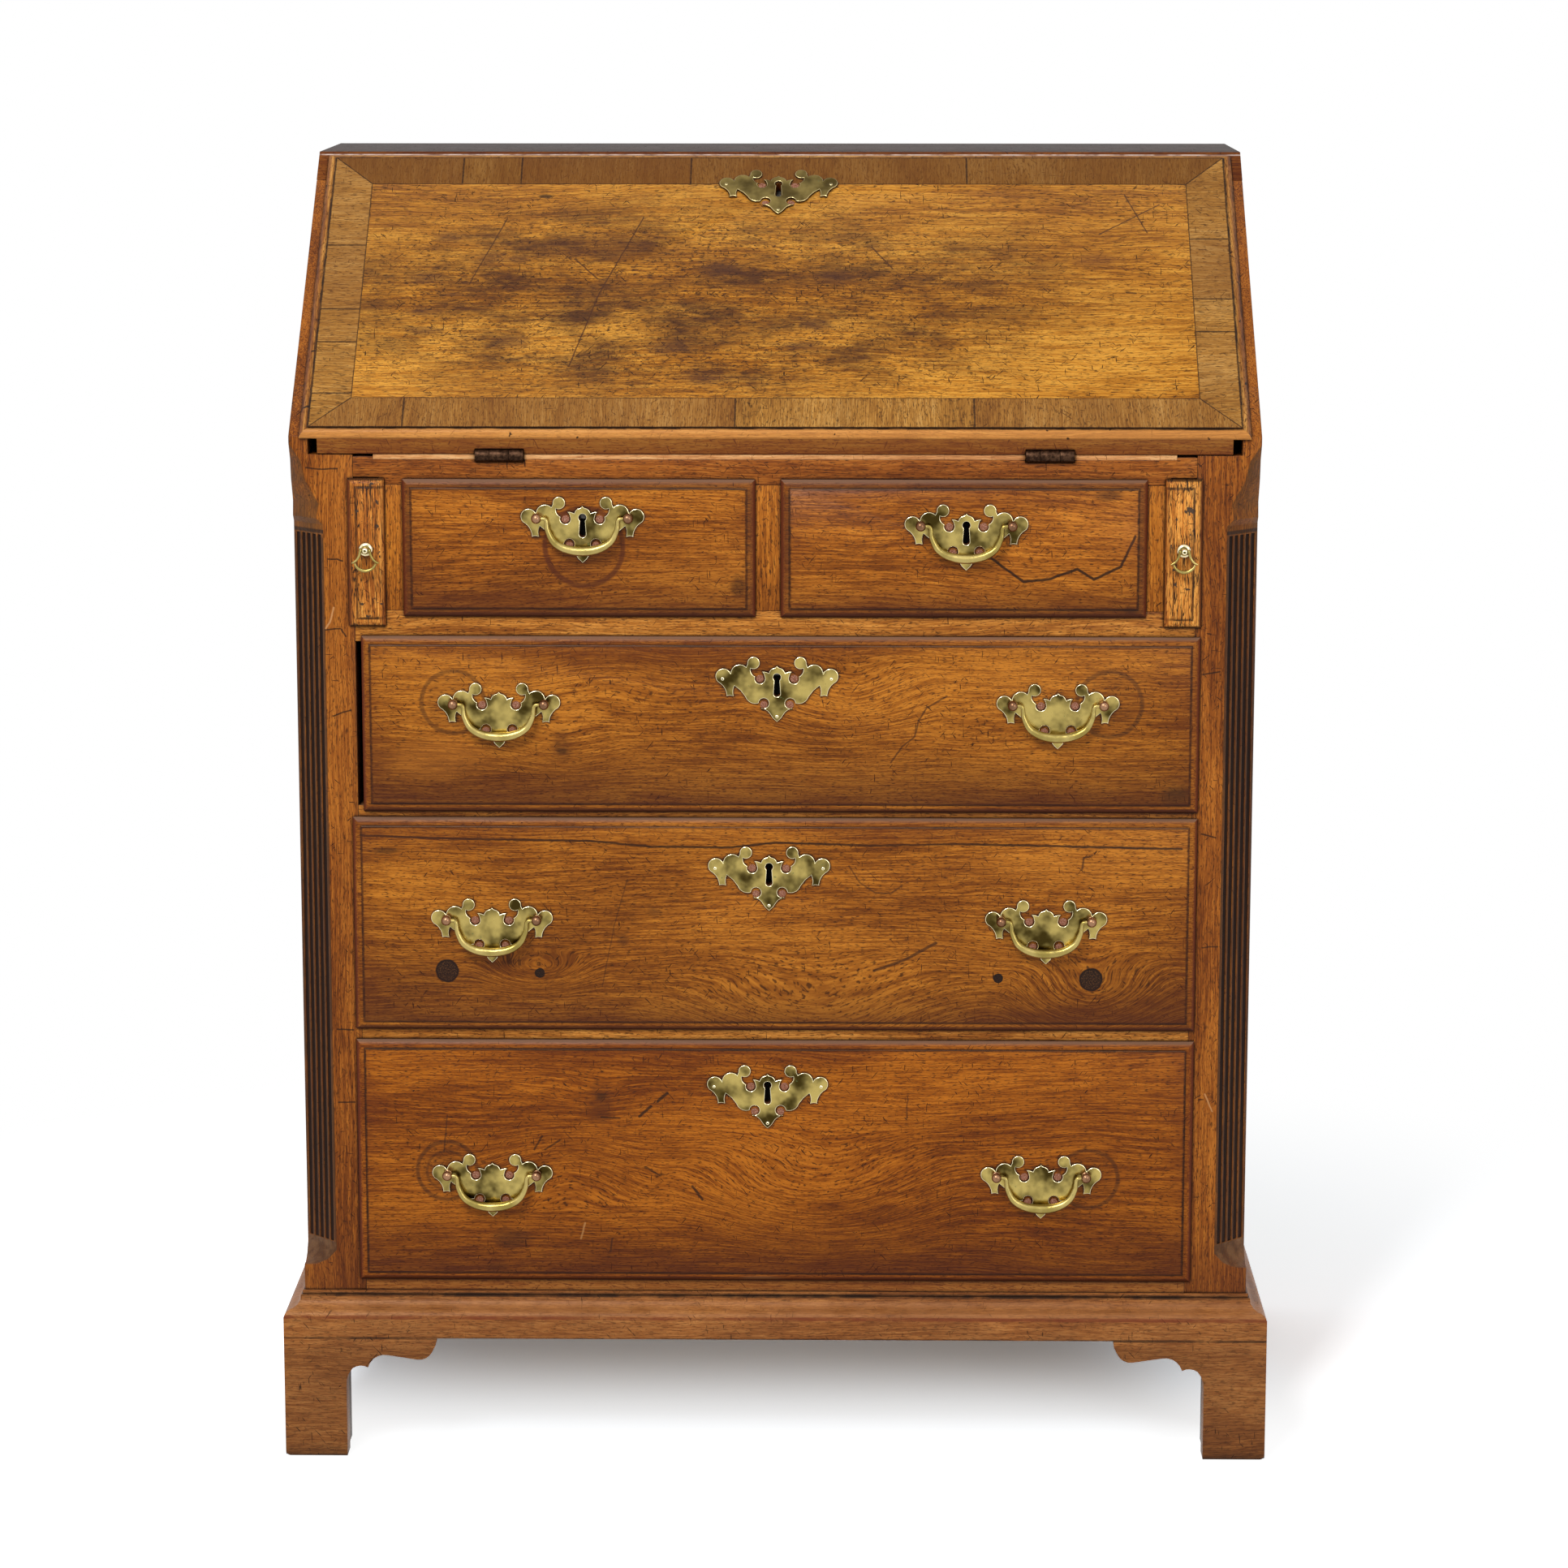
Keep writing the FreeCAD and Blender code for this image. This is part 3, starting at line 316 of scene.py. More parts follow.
class Shader(Graph):
    """A material, with the place and the direction of its surface as wires."""

    def __init__(self, name):
        self.material = bpy.data.materials.new(name)
        self.material.use_nodes = True
        super().__init__(self.material.node_tree)
        self.point = self.make("ShaderNodeTexCoord", {}, "Object")
        self.normal = self.make("ShaderNodeTexCoord", {}, "Normal")
        self.x, self.y, self.z = self.split(self.point)
        self.nx, self.ny, self.nz = self.split(self.normal)

    def mottle(self, rate, detail, rough):
        """Noise in space, with so many turns to a metre."""
        return self.noise(self.scaled(self.point, rate), detail, rough)

    def finish(self, colour, rough, normal, specular, metal=0.0):
        self.feed(self.tree.nodes["Principled BSDF"], {
            "Base Color": colour, "Roughness": rough, "Normal": normal,
            "Specular IOR Level": specular, "Metallic": metal})
        return self.material


def new_group(name, takes, kind="ShaderNodeTree", taken="NodeSocketVector", given="NodeSocketFloat"):
    """A node group with one output, as a graph, and the wires that come into it."""
    tree = bpy.data.node_groups.new(name, kind)
    for label in takes:
        tree.interface.new_socket(label, in_out="INPUT", socket_type=taken)
    tree.interface.new_socket("Result", in_out="OUTPUT", socket_type=given)
    graph = Graph(tree)
    entry = graph.add("NodeGroupInput", {})
    return graph, [Wire(graph, entry.outputs[label]) for label in takes]


def spot_group():
    """Distance from a centre, where 1 is the edge of an upright or lying oval."""
    graph, (point, centre, radii) = new_group("spot", ("Point", "Centre", "Radii"))
    share = graph.vector("DIVIDE", graph.vector("SUBTRACT", point, centre), radii)
    graph.add("NodeGroupOutput", {0: graph.vector("LENGTH", share)})
    return graph.tree


def stroke_group():
    """Distance from a straight line between two points."""
    graph, (point, start, end) = new_group("stroke", ("Point", "Start", "End"))
    away = graph.vector("SUBTRACT", point, start)
    run = graph.vector("SUBTRACT", end, start)
    reach = graph.vector("DOT_PRODUCT", away, run)
    whole = graph.vector("DOT_PRODUCT", run, run)
    foot = graph.scaled(run, graph.math("DIVIDE", reach, whole, clamp=True))
    apart = graph.vector("SUBTRACT", away, foot)
    graph.add("NodeGroupOutput", {0: graph.vector("LENGTH", apart)})
    return graph.tree


def smoothing_group():
    """Shades smooth, with edges that turn more than a limit kept sharp."""
    geometry = "NodeSocketGeometry"
    graph, (shape,) = new_group("smooth_by_angle", ("Geometry",), "GeometryNodeTree", geometry, geometry)
    bare = graph.make("GeometryNodeRemoveAttribute", {0: shape, "Name": "custom_normal"})
    smooth = graph.make("GeometryNodeSetShadeSmooth", {0: bare, "Shade Smooth": True}, domain="FACE")
    turn = graph.make("GeometryNodeInputMeshEdgeAngle", {})
    sharp = graph.make("FunctionNodeCompare", {0: turn, 1: sharp_turn}, operation="GREATER_THAN")
    edged = graph.make("GeometryNodeSetShadeSmooth", {0: smooth, "Selection": sharp, "Shade Smooth": False},
                       domain="EDGE")
    graph.add("NodeGroupOutput", {0: edged})
    return graph.tree


SPOT = spot_group()
STROKE = stroke_group()
SMOOTHING = smoothing_group()


# Directions of the grain: each gives the distances along it, across it and into the wood

def grain_x(shader):
    return shader.x, shader.z, shader.y


def grain_z(shader):
    return shader.z, shader.x, shader.y


def grain_round(shader):
    """Along the front on faces that look forward, and along the depth on faces that look sideways."""
    aside = abs(shader.nx) > facing_share
    return shader.choose(aside, shader.x, shader.y), shader.z, shader.choose(aside, shader.y, shader.x)


def grain_box(shader):
    """Along the depth on boards that look sideways or up, and along the front on the others."""
    facing = abs(shader.ny) > facing_share
    aside = abs(shader.nx) > facing_share
    return shader.choose(facing, shader.y, shader.x), shader.choose(aside, shader.x, shader.z), shader.z


def grain_stile(shader):
    """Upright near the front, along the depth behind it."""
    behind = shader.y > front_y + stile_depth
    return (shader.choose(behind, shader.z, shader.y), shader.choose(behind, shader.x, shader.z),
            shader.choose(behind, shader.y, shader.x))


def up_slope(shader):
    """The distance s of a point up the slope of the fall."""
    return (shader.y - front_y) * slope_cos + (shader.z - slope_foot_z) * slope_sin


def grain_slope(shader):
    """Along x, up the slope and out of its face."""
    out = (shader.z - slope_foot_z) * slope_cos - (shader.y - front_y) * slope_sin
    return shader.x, up_slope(shader), out


def band_edges(shader):
    """Distances in from the left or right edge of the fall's frame and from its lower or upper one."""
    s = up_slope(shader)
    return band_half - abs(shader.x), shader.least(s - band_low, band_high - s)


def grain_along_band(shader):
    to_side, to_end = band_edges(shader)
    x, s, out = grain_slope(shader)
    side = to_side < to_end
    return shader.choose(side, x, s), shader.choose(side, s, x), out


def grain_across_band(shader):
    along, across, out = grain_along_band(shader)
    return across, along, out


# Flat points that marks are placed by

def front_point(shader):
    """(x, z) of a point on a front."""
    return shader.combine(shader.x, shader.z, 0.0)


def fall_point(shader):
    """(x, s) of a point on the fall."""
    return shader.combine(shader.x, up_slope(shader), 0.0)


# Wood

def wood(name, grain, tones, seed, flat=None, knots=(), marks=(), rough=0.42, figure=1.0, pore_share=0.78,
         stain=None, stain_share=0.0, worn_place=None, grime_and_shade=0.85, wear=1.0, rim=None, rim_dark=1.0,
         lip_dark=0.0, fine=1.0, specular=0.14, touch=None):
    """Worn, waxed wood: clouded figure and growth lines that flow round knots, fibres, pores, nicks and
    specks, grime with painted shade in corners and, inside a rim (x0, x1, z0, z1), polish darkened towards
    the edges of a front, with painted shade and grime in its quirk and along its outer edge. worn_place says
    where a stain is strong. touch changes the colour by place and direction."""
    deep, dark, middle, light = tones
    shader = Shader("wood_" + name)
    along, across, depth = grain(shader)
    spot_point = shader.combine(along, across, 0.0) if flat is None else flat(shader)

    def field(rate_along, rate_across, shift, detail, softness, level):
        """Noise drawn out along the grain."""
        place = shader.combine(along * rate_along + (seed + shift), level * rate_across, depth * rate_across)
        return shader.noise(place, detail, softness)

    # The grain's course
    drift = field(2.4, 9.0, 0.0, 2.0, 0.5, across) - 0.5
    ripple = field(14.0, 30.0, 5.0, 2.0, 0.5, across) - 0.5
    level = across + drift * 0.040 + ripple * 0.004
    height = level
    for x, z, wide, high, rise in knots:
        far = oval(shader, spot_point, x, z, wide, high)
        swell = shader.math("SUBTRACT", 1.0, far * far, clamp=True)
        height = height + swell * swell * (rise * MM)

    # Figure, fibres and growth lines
    broad = field(4.0, 16.0, 4.0, 3.0, 0.55, level).step(0.30, 0.70)
    cloud = field(42.0, 240.0, 8.0, 3.0, 0.6, level).step(0.30, 0.70)
    fibre = field(15.0, 700.0, 1.0, 2.0, 0.55, height).step(0.32, 0.68)
    hair = field(75.0, 1350.0, 6.0, 2.0, 0.6, height).step(0.30, 0.70)
    tone = (broad * (0.30 * figure) + cloud * (0.15 * figure) + fibre * (0.27 * fine) + hair * 0.28
            + (0.225 * (1.0 - figure) + 0.135 * (1.0 - fine)))
    colour = shader.ramp(tone, [(0.24, dark), (0.5, middle), (0.76, light)])
    rings = shader.lines(height * 260.0 + seed, 2.0, 0.6).step(0.52, 0.70)
    present = field(6.0, 18.0, 7.0, 2.0, 0.5, across).step(0.42, 0.64, 0.05, 0.27)
    colour = colour.coat(rings * present, dark)

    # Stains
    if stain is not None:
        soaked = field(15.0, 36.0, 9.0, 10.0, 0.74, across).step(0.36, 0.66, 0.0, stain_share)
        freckled = field(150.0, 330.0, 12.0, 5.0, 0.7, across).step(0.50, 0.66, 0.0, 0.95 * stain_share)
        soaked = shader.most(soaked, freckled)
        if worn_place is None:
            colour = colour.coat(soaked, stain)
        else:
            worn = worn_place(shader, spot_point)
            dots = field(280.0, 430.0, 14.0, 3.0, 0.62, across).step(0.585, 0.66, 0.0, 0.85)
            colour = colour.coat(soaked * worn, stain).coat(dots * worn, deep)

    # Pores, specks and nicks
    pores = field(230.0, 1500.0, 3.0, 1.0, 0.5, height).step(0.55, 0.68)
    specks = field(190.0, 330.0, 2.0, 3.0, 0.6, across).step(0.70, 0.75, 0.0, 0.75 * wear)
    colour = colour.coat(pores * pore_share, deep).coat(specks, deep)
    strokes = []
    for turn, shift in ((0.9, 11.0), (2.3, 15.0), (1.6, 21.0)):
        u = along * math.cos(turn) + across * math.sin(turn)
        v = along * -math.sin(turn) + across * math.cos(turn)
        stroke = shader.noise(shader.combine(u * 95.0 + (seed + shift), v * 720.0, depth * 55.0), 1.0, 0.5)
        strokes.append(stroke.step(0.745 - 0.025 * wear, 0.775 - 0.025 * wear, 0.0, min(0.92, 0.9 * wear)))
    nicks = shader.most(*strokes) * field(22.0, 22.0, 19.0, 2.0, 0.5, across).step(0.38, 0.55)
    colour = colour.coat(nicks, deep)
    for kind, *row in marks:
        colour = kind(shader, spot_point, colour, *row)

    # The rim of a front, with the quirk inside its lip: painted shade and grime in the quirk and along the
    # outer edge
    if rim is not None:
        left, right, low, high = rim
        inset = shader.least(shader.x - left, right - shader.x, shader.z - low, high - shader.z)
        uneven = inset + (broad - 0.5) * 0.022
        colour = colour.coat(uneven.step(0.002, 0.026, 0.34 * rim_dark, 0.0), 98, 44, 16)
        patchy = shader.choose(cloud, 0.45, 1.0)
        lip = inset.step(lip_width - 1.0 * MM, lip_width, lip_dark, 0.0)
        colour = colour.coat(lip * patchy, 64, 31, 16)
        # painted shade and grime in the quirk inside the lip
        colour = colour.coat(inset.near(lip_width, 0.5 * MM, 1.5 * MM, 0.92) * patchy, soot)
        # a painted shadow and grime along the front's outer edge
        colour = colour.coat(inset.step(0.8 * MM, 2.6 * MM, 0.88, 0.0), soot)
    if touch is not None:
        colour = touch(shader, colour)

    # Painted shade and grime in corners, then the surface
    colour = colour.coat(shader.hollow(16.0 * MM).step(0.12, 0.72, 0.0, 0.82 * grime_and_shade), deep)
    colour = colour.coat(shader.hollow(2.6 * MM).step(0.10, 0.46, 0.0, grime_and_shade), soot)
    rough_value = pores * 0.10 + nicks * 0.2 + cloud * 0.08 + (rough - 0.05)
    relief = fibre * 0.30 - (pores * 0.5 + nicks + specks)
    return shader.finish(colour, rough_value, shader.bump(relief, 0.14 * MM, 0.6), specular)


# Marks of wear, with places and sizes in millimetres: each is laid over the colour below it

def wavering(shader, point, size, rate):
    """The flat point pushed about a little, so that a mark's edge is uneven."""
    push = shader.noise(shader.scaled(point, rate), out="Color")
    push = shader.vector("SUBTRACT", push, (0.5, 0.5, 0.5))
    return shader.vector("MULTIPLY_ADD", push, (2 * size * MM, 2 * size * MM, 0), point)


def oval(shader, point, x, z, wide, high):
    """Distance from a place, where 1 is the edge of an oval round it."""
    return shader.group(SPOT, Point=point, Centre=mm(x, z, 0), Radii=(wide * MM, high * MM, 1))


def scratch(shader, point, below, colour, width, share, *places):
    point = wavering(shader, point, 0.6, 160.0)
    spots = [mm(x, z, 0) for x, z in places]
    far = shader.least(*[shader.group(STROKE, Point=point, Start=start, End=end)
                         for start, end in zip(spots, spots[1:])])
    return below.coat(far.step(0.3 * width * MM, 0.75 * width * MM, share, 0.0), colour)


def ring(shader, point, below, colour, x, z, radius, share):
    """A ring worn round a lost or older fitting, with the wood inside it a little darker."""
    far = oval(shader, wavering(shader, point, 0.8, 60.0), x, z, radius, radius)
    inside = far.step(0.7, 1.0, 0.30 * share, 0.0)
    return below.coat(shader.most(far.near(0.95, 0.03, 0.10, share), inside), colour)


def patch(shader, point, below, colour, x, z, wide, high, share, soft=0.7):
    far = oval(shader, wavering(shader, point, 0.35 * min(wide, high), 45.0), x, z, wide, high)
    return below.coat(far.step(1.0 - soft, 1.0, share, 0.0), colour)


def plug(shader, point, below, colour, x, z, radius):
    """A filled hole: a dark stopping with a darker rim."""
    far = oval(shader, wavering(shader, point, 0.9, 110.0), x, z, radius, radius)
    crumbs = shader.noise(shader.scaled(point, 900.0), 3.0, 0.7)
    filler = shader.mix(crumbs.step(0.45, 0.65), soot, colour)
    return below.coat(far.step(1.0, 1.12, 1.0, 0.0), filler.coat(far.step(0.82, 0.95), soot))


def each(kind, colour, *rows):
    """Marks of one kind and colour."""
    return [(kind, colour, *row) for row in rows]


def fall_worn_place(shader, point):
    """The fall is stained most on its left and in the middle."""
    far = oval(shader, wavering(shader, point, 50.0, 6.0), -75, 145, 360, 135)
    return far.step(0.50, 1.10, 1.0, 0.06)


# Touches: changes of colour by place and direction

def lip_touch(shader, colour):
    """Dust with a painted highlight on ledges that look up, redder polish on the lips that look sideways,
    painted shade on the undersides.
    """
    # dust and a painted highlight on faces that look up
    colour = colour.coat(shader.nz.step(0.30, 0.80, 0.0, 0.55), 168, 126, 100)
    colour = colour.coat(abs(shader.nx).step(0.25, 0.80, 0.0, 0.60), 118, 52, 28)
    # painted shade on faces that look down
    return colour.coat(shader.nz.step(-0.12, -0.45, 0.0, 0.72), 66, 27, 16)


def rail_touch(shader, colour):
    """Rails are darker and redder low down."""
    return lip_touch(shader, colour.coat(shader.z.step(0.20, 0.34, 0.62, 0.0), 104, 50, 22))


def top_touch(shader, colour):
    """The top's upper face is black; its front edge is dark red with a painted highlight, a pale line along
    its arris.
    """
    colour = colour.coat(0.55, 74, 34, 24)
    patchy = shader.lines(shader.x * 40.0, 3.0, 0.6).step(0.36, 0.60, 0.25, 1.0)
    # a painted highlight along the front arris of the top
    line = up_slope(shader).near(top_line, 0.4 * MM, 1.0 * MM, 0.85)
    ahead = abs(shader.nx).step(0.2, 0.5, 1.0, 0.0)
    colour = colour.coat(line * patchy * ahead, 232, 208, 196)
    black = shader.mix(shader.mottle(60.0, 4.0, 0.65).step(0.4, 0.7), srgb(22, 12, 10), srgb(44, 26, 21))
    return colour.coat(shader.nz.step(0.86, 0.96, 0.0, 0.9), black)


def post_touch(shader, colour):
    """The flutes of the canted corners are black with old polish, with painted shade in their grooves and at
    the ledge above them; their stops dull and rubbed.
    """
    z = shader.z
    aside = case_half - abs(shader.x)
    behind = shader.y - front_y
    sunk = (aside + behind - cant_leg) * math.sqrt(0.5)
    middle = abs(aside - behind) * math.sqrt(0.5)
    canted = abs(shader.nx).step(0.12, 0.35) * shader.ny.step(-0.12, -0.35)
    patchy = shader.mottle(40.0, 4.0, 0.6).step(0.35, 0.68, 0.70, 0.25)
    colour = colour.coat(canted * patchy, 86, 58, 27)
    fluted = (z.step(flute_low - 1.0 * MM, flute_low + 3.0 * MM)
              * z.step(flute_high - 3.0 * MM, flute_high + 1.0 * MM, 1.0, 0.0))
    colour = colour.coat(canted * fluted * 0.50, 62, 38, 24)
    # painted shade at the ledge above the flutes
    ledge = z.near(flute_high + 2.5 * MM, 0.8 * MM, 2.2 * MM, 0.8)
    colour = colour.coat(canted * ledge, soot)
    # painted shade deep in the grooves of the flutes
    in_flute = (sunk.step(0.05 * MM, 1.1 * MM, 0.0, 0.97) * (middle < flutes_half)
                * (z < flute_high + 10.0 * MM))
    colour = colour.coat(in_flute, 24, 14, 10)
    stop = canted * z.step(flute_low - 1.0 * MM, flute_low, 0.62, 0.0)
    rubbed = shader.mottle(90.0, 3.0, 0.6).step(0.40, 0.66)
    colour = colour.coat(stop, shader.mix(rubbed, srgb(66, 50, 36), srgb(128, 98, 68)))
    return colour.coat(z.step(0.14, 0.20, 0.42, 0.0), 84, 40, 20)


# Lines round the base moulding: (height, half width, softness) in millimetres, share and colour
base_lines = (
    # a painted highlight on the round of the ogee
    ((122.5, 3.2, 3.0), 0.35, srgb(196, 134, 84)),
    ((116.2, 0.7, 1.3), 0.75, srgb(118, 54, 30)),
    # a painted shadow in the fillet
    ((131.6, 0.8, 1.4), 0.9, soot),
    ((99.0, 0.5, 1.0), 0.75, soot),
)


def base_touch(shader, colour):
    """Painted shading on the moulding: a painted shadow in its fillet and a painted highlight on the ogee,
    with a redder line at its arris and a dark line at its foot; painted shade on the feet just below it and
    on the wood behind the brackets.
    """
    patchy = shader.mottle(35.0, 4.0, 0.6).step(0.34, 0.60, 0.35, 1.0)
    for sizes, share, paint in base_lines:
        height, half, soft = mm(*sizes)
        colour = colour.coat(shader.z.near(height, half, half + soft, share) * patchy, paint)
    inside = case_half + base_proud - bracket_thickness
    behind = (shader.y > front_y + 4.0 * MM) * (abs(shader.x) < inside)
    # painted shade on the feet just below the moulding
    colour = colour.coat(shader.z.step(0.099, 0.088, 0.0, 0.20), 62, 40, 26)
    # painted shade on the wood behind the brackets, under the case
    return colour.coat(behind * 0.85, 52, 42, 30)


def loper_touch(shader, colour):
    """The heads are split and rubbed: dark cracks along the grain, pits and redder arrises."""
    heads = shader.y < front_y
    splits = shader.noise(shader.combine(shader.x * 210.0, shader.z * 14.0, 0.0), 3.0, 0.7)
    colour = colour.coat(splits.near(0.5, 0.006, 0.026, 0.95) * heads, soot)
    pits = shader.mottle(150.0, 2.0, 0.5).step(0.66, 0.70, 0.0, 0.95)
    colour = colour.coat(pits * heads, 62, 50, 40)
    return colour.coat(abs(shader.nx).step(0.3, 0.8, 0.0, 0.5), 130, 62, 26)


def fall_touch(shader, colour):
    """The outer face has faded to gold, with painted shade on its lower edge; the writing face is kept darker
    and redder.
    """
    # painted shade on the fall's lower edge, under its lip
    colour = colour.coat(up_slope(shader).step(0.5 * MM, 3.0 * MM, 0.72, 0.0), 108, 54, 25)
    redder = shader.mix(1.0, colour, srgb(205, 150, 125), "MULTIPLY")
    return colour.coat(shader.nz.step(-0.1, -0.5), redder)


def fall_lip_touch(shader, colour):
    """Black with painted shade and grime in the quirk and at the outer edge, most at the foot, chipped;
    redder on the sides, rubbed pale along the foot.
    """
    to_side, to_end = band_edges(shader)
    inset = shader.least(to_side, to_end)
    patchy = shader.mottle(55.0, 4.0, 0.65).step(0.36, 0.62)
    lower = (1.0 - (to_side < to_end)) * (up_slope(shader) < fall_middle)
    colour = colour.coat(lower * 0.55, 218, 146, 74)
    colour = colour.coat(abs(shader.nx).step(0.25, 0.80, 0.0, 0.55), 118, 54, 26)
    # painted shade and grime in the quirk
    quirk = abs(inset).step(0.7 * MM, 2.4 * MM, 0.95, 0.0)
    colour = colour.coat(quirk * shader.choose(patchy, 0.45, 1.0), soot)
    # a painted shadow and grime at the outer edge, strongest along the foot
    edge = inset.step(-6.6 * MM, -4.2 * MM, 0.85, 0.0)
    colour = colour.coat(edge * patchy * shader.choose(lower, 1.0, 0.15), 58, 26, 15)
    return colour.coat(shader.mottle(120.0, 2.0, 0.5).step(0.68, 0.71, 0.0, 0.9), soot)


# Where the strips of the fall's frame are pieced, in x or s
band_joins = {
    "low": (-0.291, -0.031, 0.156),
    "high": (-0.259, -0.211, -0.072, 0.154),
    "left": (0.0406, 0.0976, 0.1345, 0.208),
    "right": (0.110, 0.147, 0.216),
}


def band_touch(shader, colour):
    """The strips are pieced: each piece has its own tone, with dark lines at the joins and mitres."""
    to_side, to_end = band_edges(shader)
    inset = shader.least(to_side, to_end)
    side = to_side < to_end
    end = 1.0 - side
    s = up_slope(shader)
    upper = s > fall_middle
    right = shader.x > 0.0
    run = shader.choose(side, shader.x, s)
    seam = abs(to_side - to_end)
    number = 0.0
    for strip, chosen, first in (("low", end * (1.0 - upper), 3.3), ("high", end * upper, 11.7),
                                 ("left", side * (1.0 - right), 27.1), ("right", side * right, 42.9)):
        count = first
        near = 1.0
        for place in band_joins[strip]:
            count = count + (run > place)
            near = shader.least(near, abs(run - place))
        number = number + count * chosen
        seam = shader.choose(chosen, seam, shader.least(seam, near))
    chance = shader.make("ShaderNodeTexWhiteNoise", {"W": number}, noise_dimensions="1D")
    colour = colour.coat(chance.step(0.15, 1.0, 0.0, 0.42), 112, 64, 28)
    colour = colour.coat(end * upper * 0.66, 98, 55, 14)
    seam = shader.least(seam, abs(inset - band_width), abs(inset))
    ragged = seam + shader.mottle(240.0, 3.0, 0.7) * (1.1 * MM)
    return colour.coat(ragged.step(0.7 * MM, 1.7 * MM, 0.92, 0.0), 44, 24, 12)


# Knots as (x, z, half length, half width, rise), and marks on each front

knots_1 = [(-167, 579, 60, 30, 8), (-140, 645, 70, 40, -9), (54, 620, 85, 45, 20)]
knots_2 = [(-187, 399, 60, 24, 20), (30, 352, 150, 72, 40), (252, 372, 80, 58, 36)]
knots_3 = [(-139, 298, 50, 26, 6), (-166, 240, 80, 45, -15), (40, 217, 130, 66, 36)]
marks_1 = [
    *each(ring, umber, (-253.4, 617.5, 26, 0.55), (263.4, 616.8, 27, 0.55)),
    (patch, srgb(196, 120, 44), -270, 572, 60, 24, 0.3),
    (patch, srgb(74, 36, 16), -167, 584, 13, 20, 0.45),
    (patch, soot, -167, 579, 6, 4, 0.6),
    (patch, srgb(66, 52, 22), 317, 544, 16, 12, 0.6),
    (scratch, umber, 1.3, 0.7, (135.5, 623), (120, 614), (113.7, 604), (110.4, 590.7), (100.6, 582.8),
     (91.8, 569.8)),
]
marks_2 = [
    (scratch, soot, 1.7, 0.85, (-328, 510.4), (-262, 508), (-145, 506.3), (-98, 501.9), (-35, 501.4),
     (1, 505.5), (77, 503.1), (145, 504.6), (262, 502.3), (322, 501)),
    *each(scratch, umber, (2.2, 0.75, (79.2, 401.7), (103.7, 410.7), (128.1, 424.4)),
          (1.3, 0.6, (59, 486.6), (68, 472.9), (80.2, 465), (92.5, 464.7), (101.1, 471)),
          (1.5, 0.7, (243.7, 484.8), (244.7, 493.9), (251.3, 495.5)),
          (0.9, 0.5, (-116.7, 475.6), (-127.3, 438), (-137.3, 388.4))),
    *each(plug, srgb(92, 60, 34), (-260.7, 400.6, 8.8), (251.5, 395, 8.8)),
    *each(plug, umber, (-187, 399, 3.8), (177.7, 396, 3.8)),
    (patch, soot, -308, 498, 16, 4, 0.6),
    *each(patch, umber, (-120, 426, 6, 8, 0.4), (-96, 449, 7, 6, 0.4)),
]
marks_3 = [
    *each(ring, umber, (-262.9, 236.3, 25, 0.6), (-262.9, 236.3, 17, 0.45), (251.2, 231.2, 25, 0.55)),
    (patch, srgb(74, 34, 14), -139, 292, 15, 24, 0.5),
    (patch, soot, -139, 298, 7, 4.5, 0.6),
    *each(patch, umber, (-212, 180, 22, 12, 0.55), (-224, 156, 14, 6, 0.5)),
    (patch, fresh_wood, -11.4, 146, 24, 4, 0.75),
    *each(scratch, soot, (2.2, 0.85, (-86, 301), (-93.5, 294)), (2.0, 0.85, (-99, 290), (-108.3, 281.6)),
          (1.4, 0.7, (-139, 281), (-124, 280)), (1.5, 0.7, (-104, 240), (-92, 233)),
          (2.0, 0.8, (-66, 224), (-58, 213)), (1.5, 0.7, (-192.9, 254), (-186.4, 265)),
          (1.5, 0.7, (-184, 254), (-172.1, 262))),
    *each(scratch, umber, (1.2, 0.6, (-262.3, 282), (-265.3, 251.8)),
          (1.4, 0.7, (-130.6, 180.2), (-132.3, 169.3)), (1.2, 0.6, (106.2, 298.8), (105.6, 280.1))),
    (scratch, fresh_wood, 1.4, 0.7, (-152.4, 192.9), (-155.8, 180.1)),
]
marks_left = [
    (ring, srgb(84, 38, 20), -149, 740.7, 32, 0.75),
    *each(patch, soot, (-28, 709.5, 9, 12, 0.6), (-186, 749, 5, 3, 0.5), (-114, 748.5, 5, 3, 0.5)),
]
marks_right = [
    *each(patch, soot, (260.6, 781, 16, 6, 0.6), (279.6, 690.9, 8, 5, 0.6)),
    (scratch, soot, 2.0, 0.9, (169, 733), (181, 724), (195, 714), (215, 716), (237, 724), (250, 716),
     (271, 726), (282, 750)),
]
marks_posts = [
    *each(scratch, soot, (1.2, 0.8, (-366.3, 802), (-354.3, 800.8), (-342.3, 801.5)),
          (1.2, 0.8, (-350.6, 730), (-343.6, 730.1), (-339.2, 728.5)),
          (1.2, 0.8, (-353.6, 673.8), (-341.5, 674.8), (-337.6, 668.9)),
          (1.2, 0.8, (-348.8, 605.1), (-341.7, 607.8), (-334.6, 609.6)),
          (1.2, 0.8, (-350, 351), (-337, 350.5)), (1.2, 0.8, (-350, 290.5), (-337, 291)),
          (1.2, 0.8, (337, 640), (350, 642)), (1.2, 0.8, (338, 512), (349, 509)),
          (1.2, 0.7, (340, 420), (352, 421))),
    *each(scratch, srgb(206, 150, 96), (1.3, 0.7, (-346.7, 691.6), (-350.1, 679.4), (-353.6, 675)),
          (1.2, 0.6, (344, 300), (350, 286))),
]
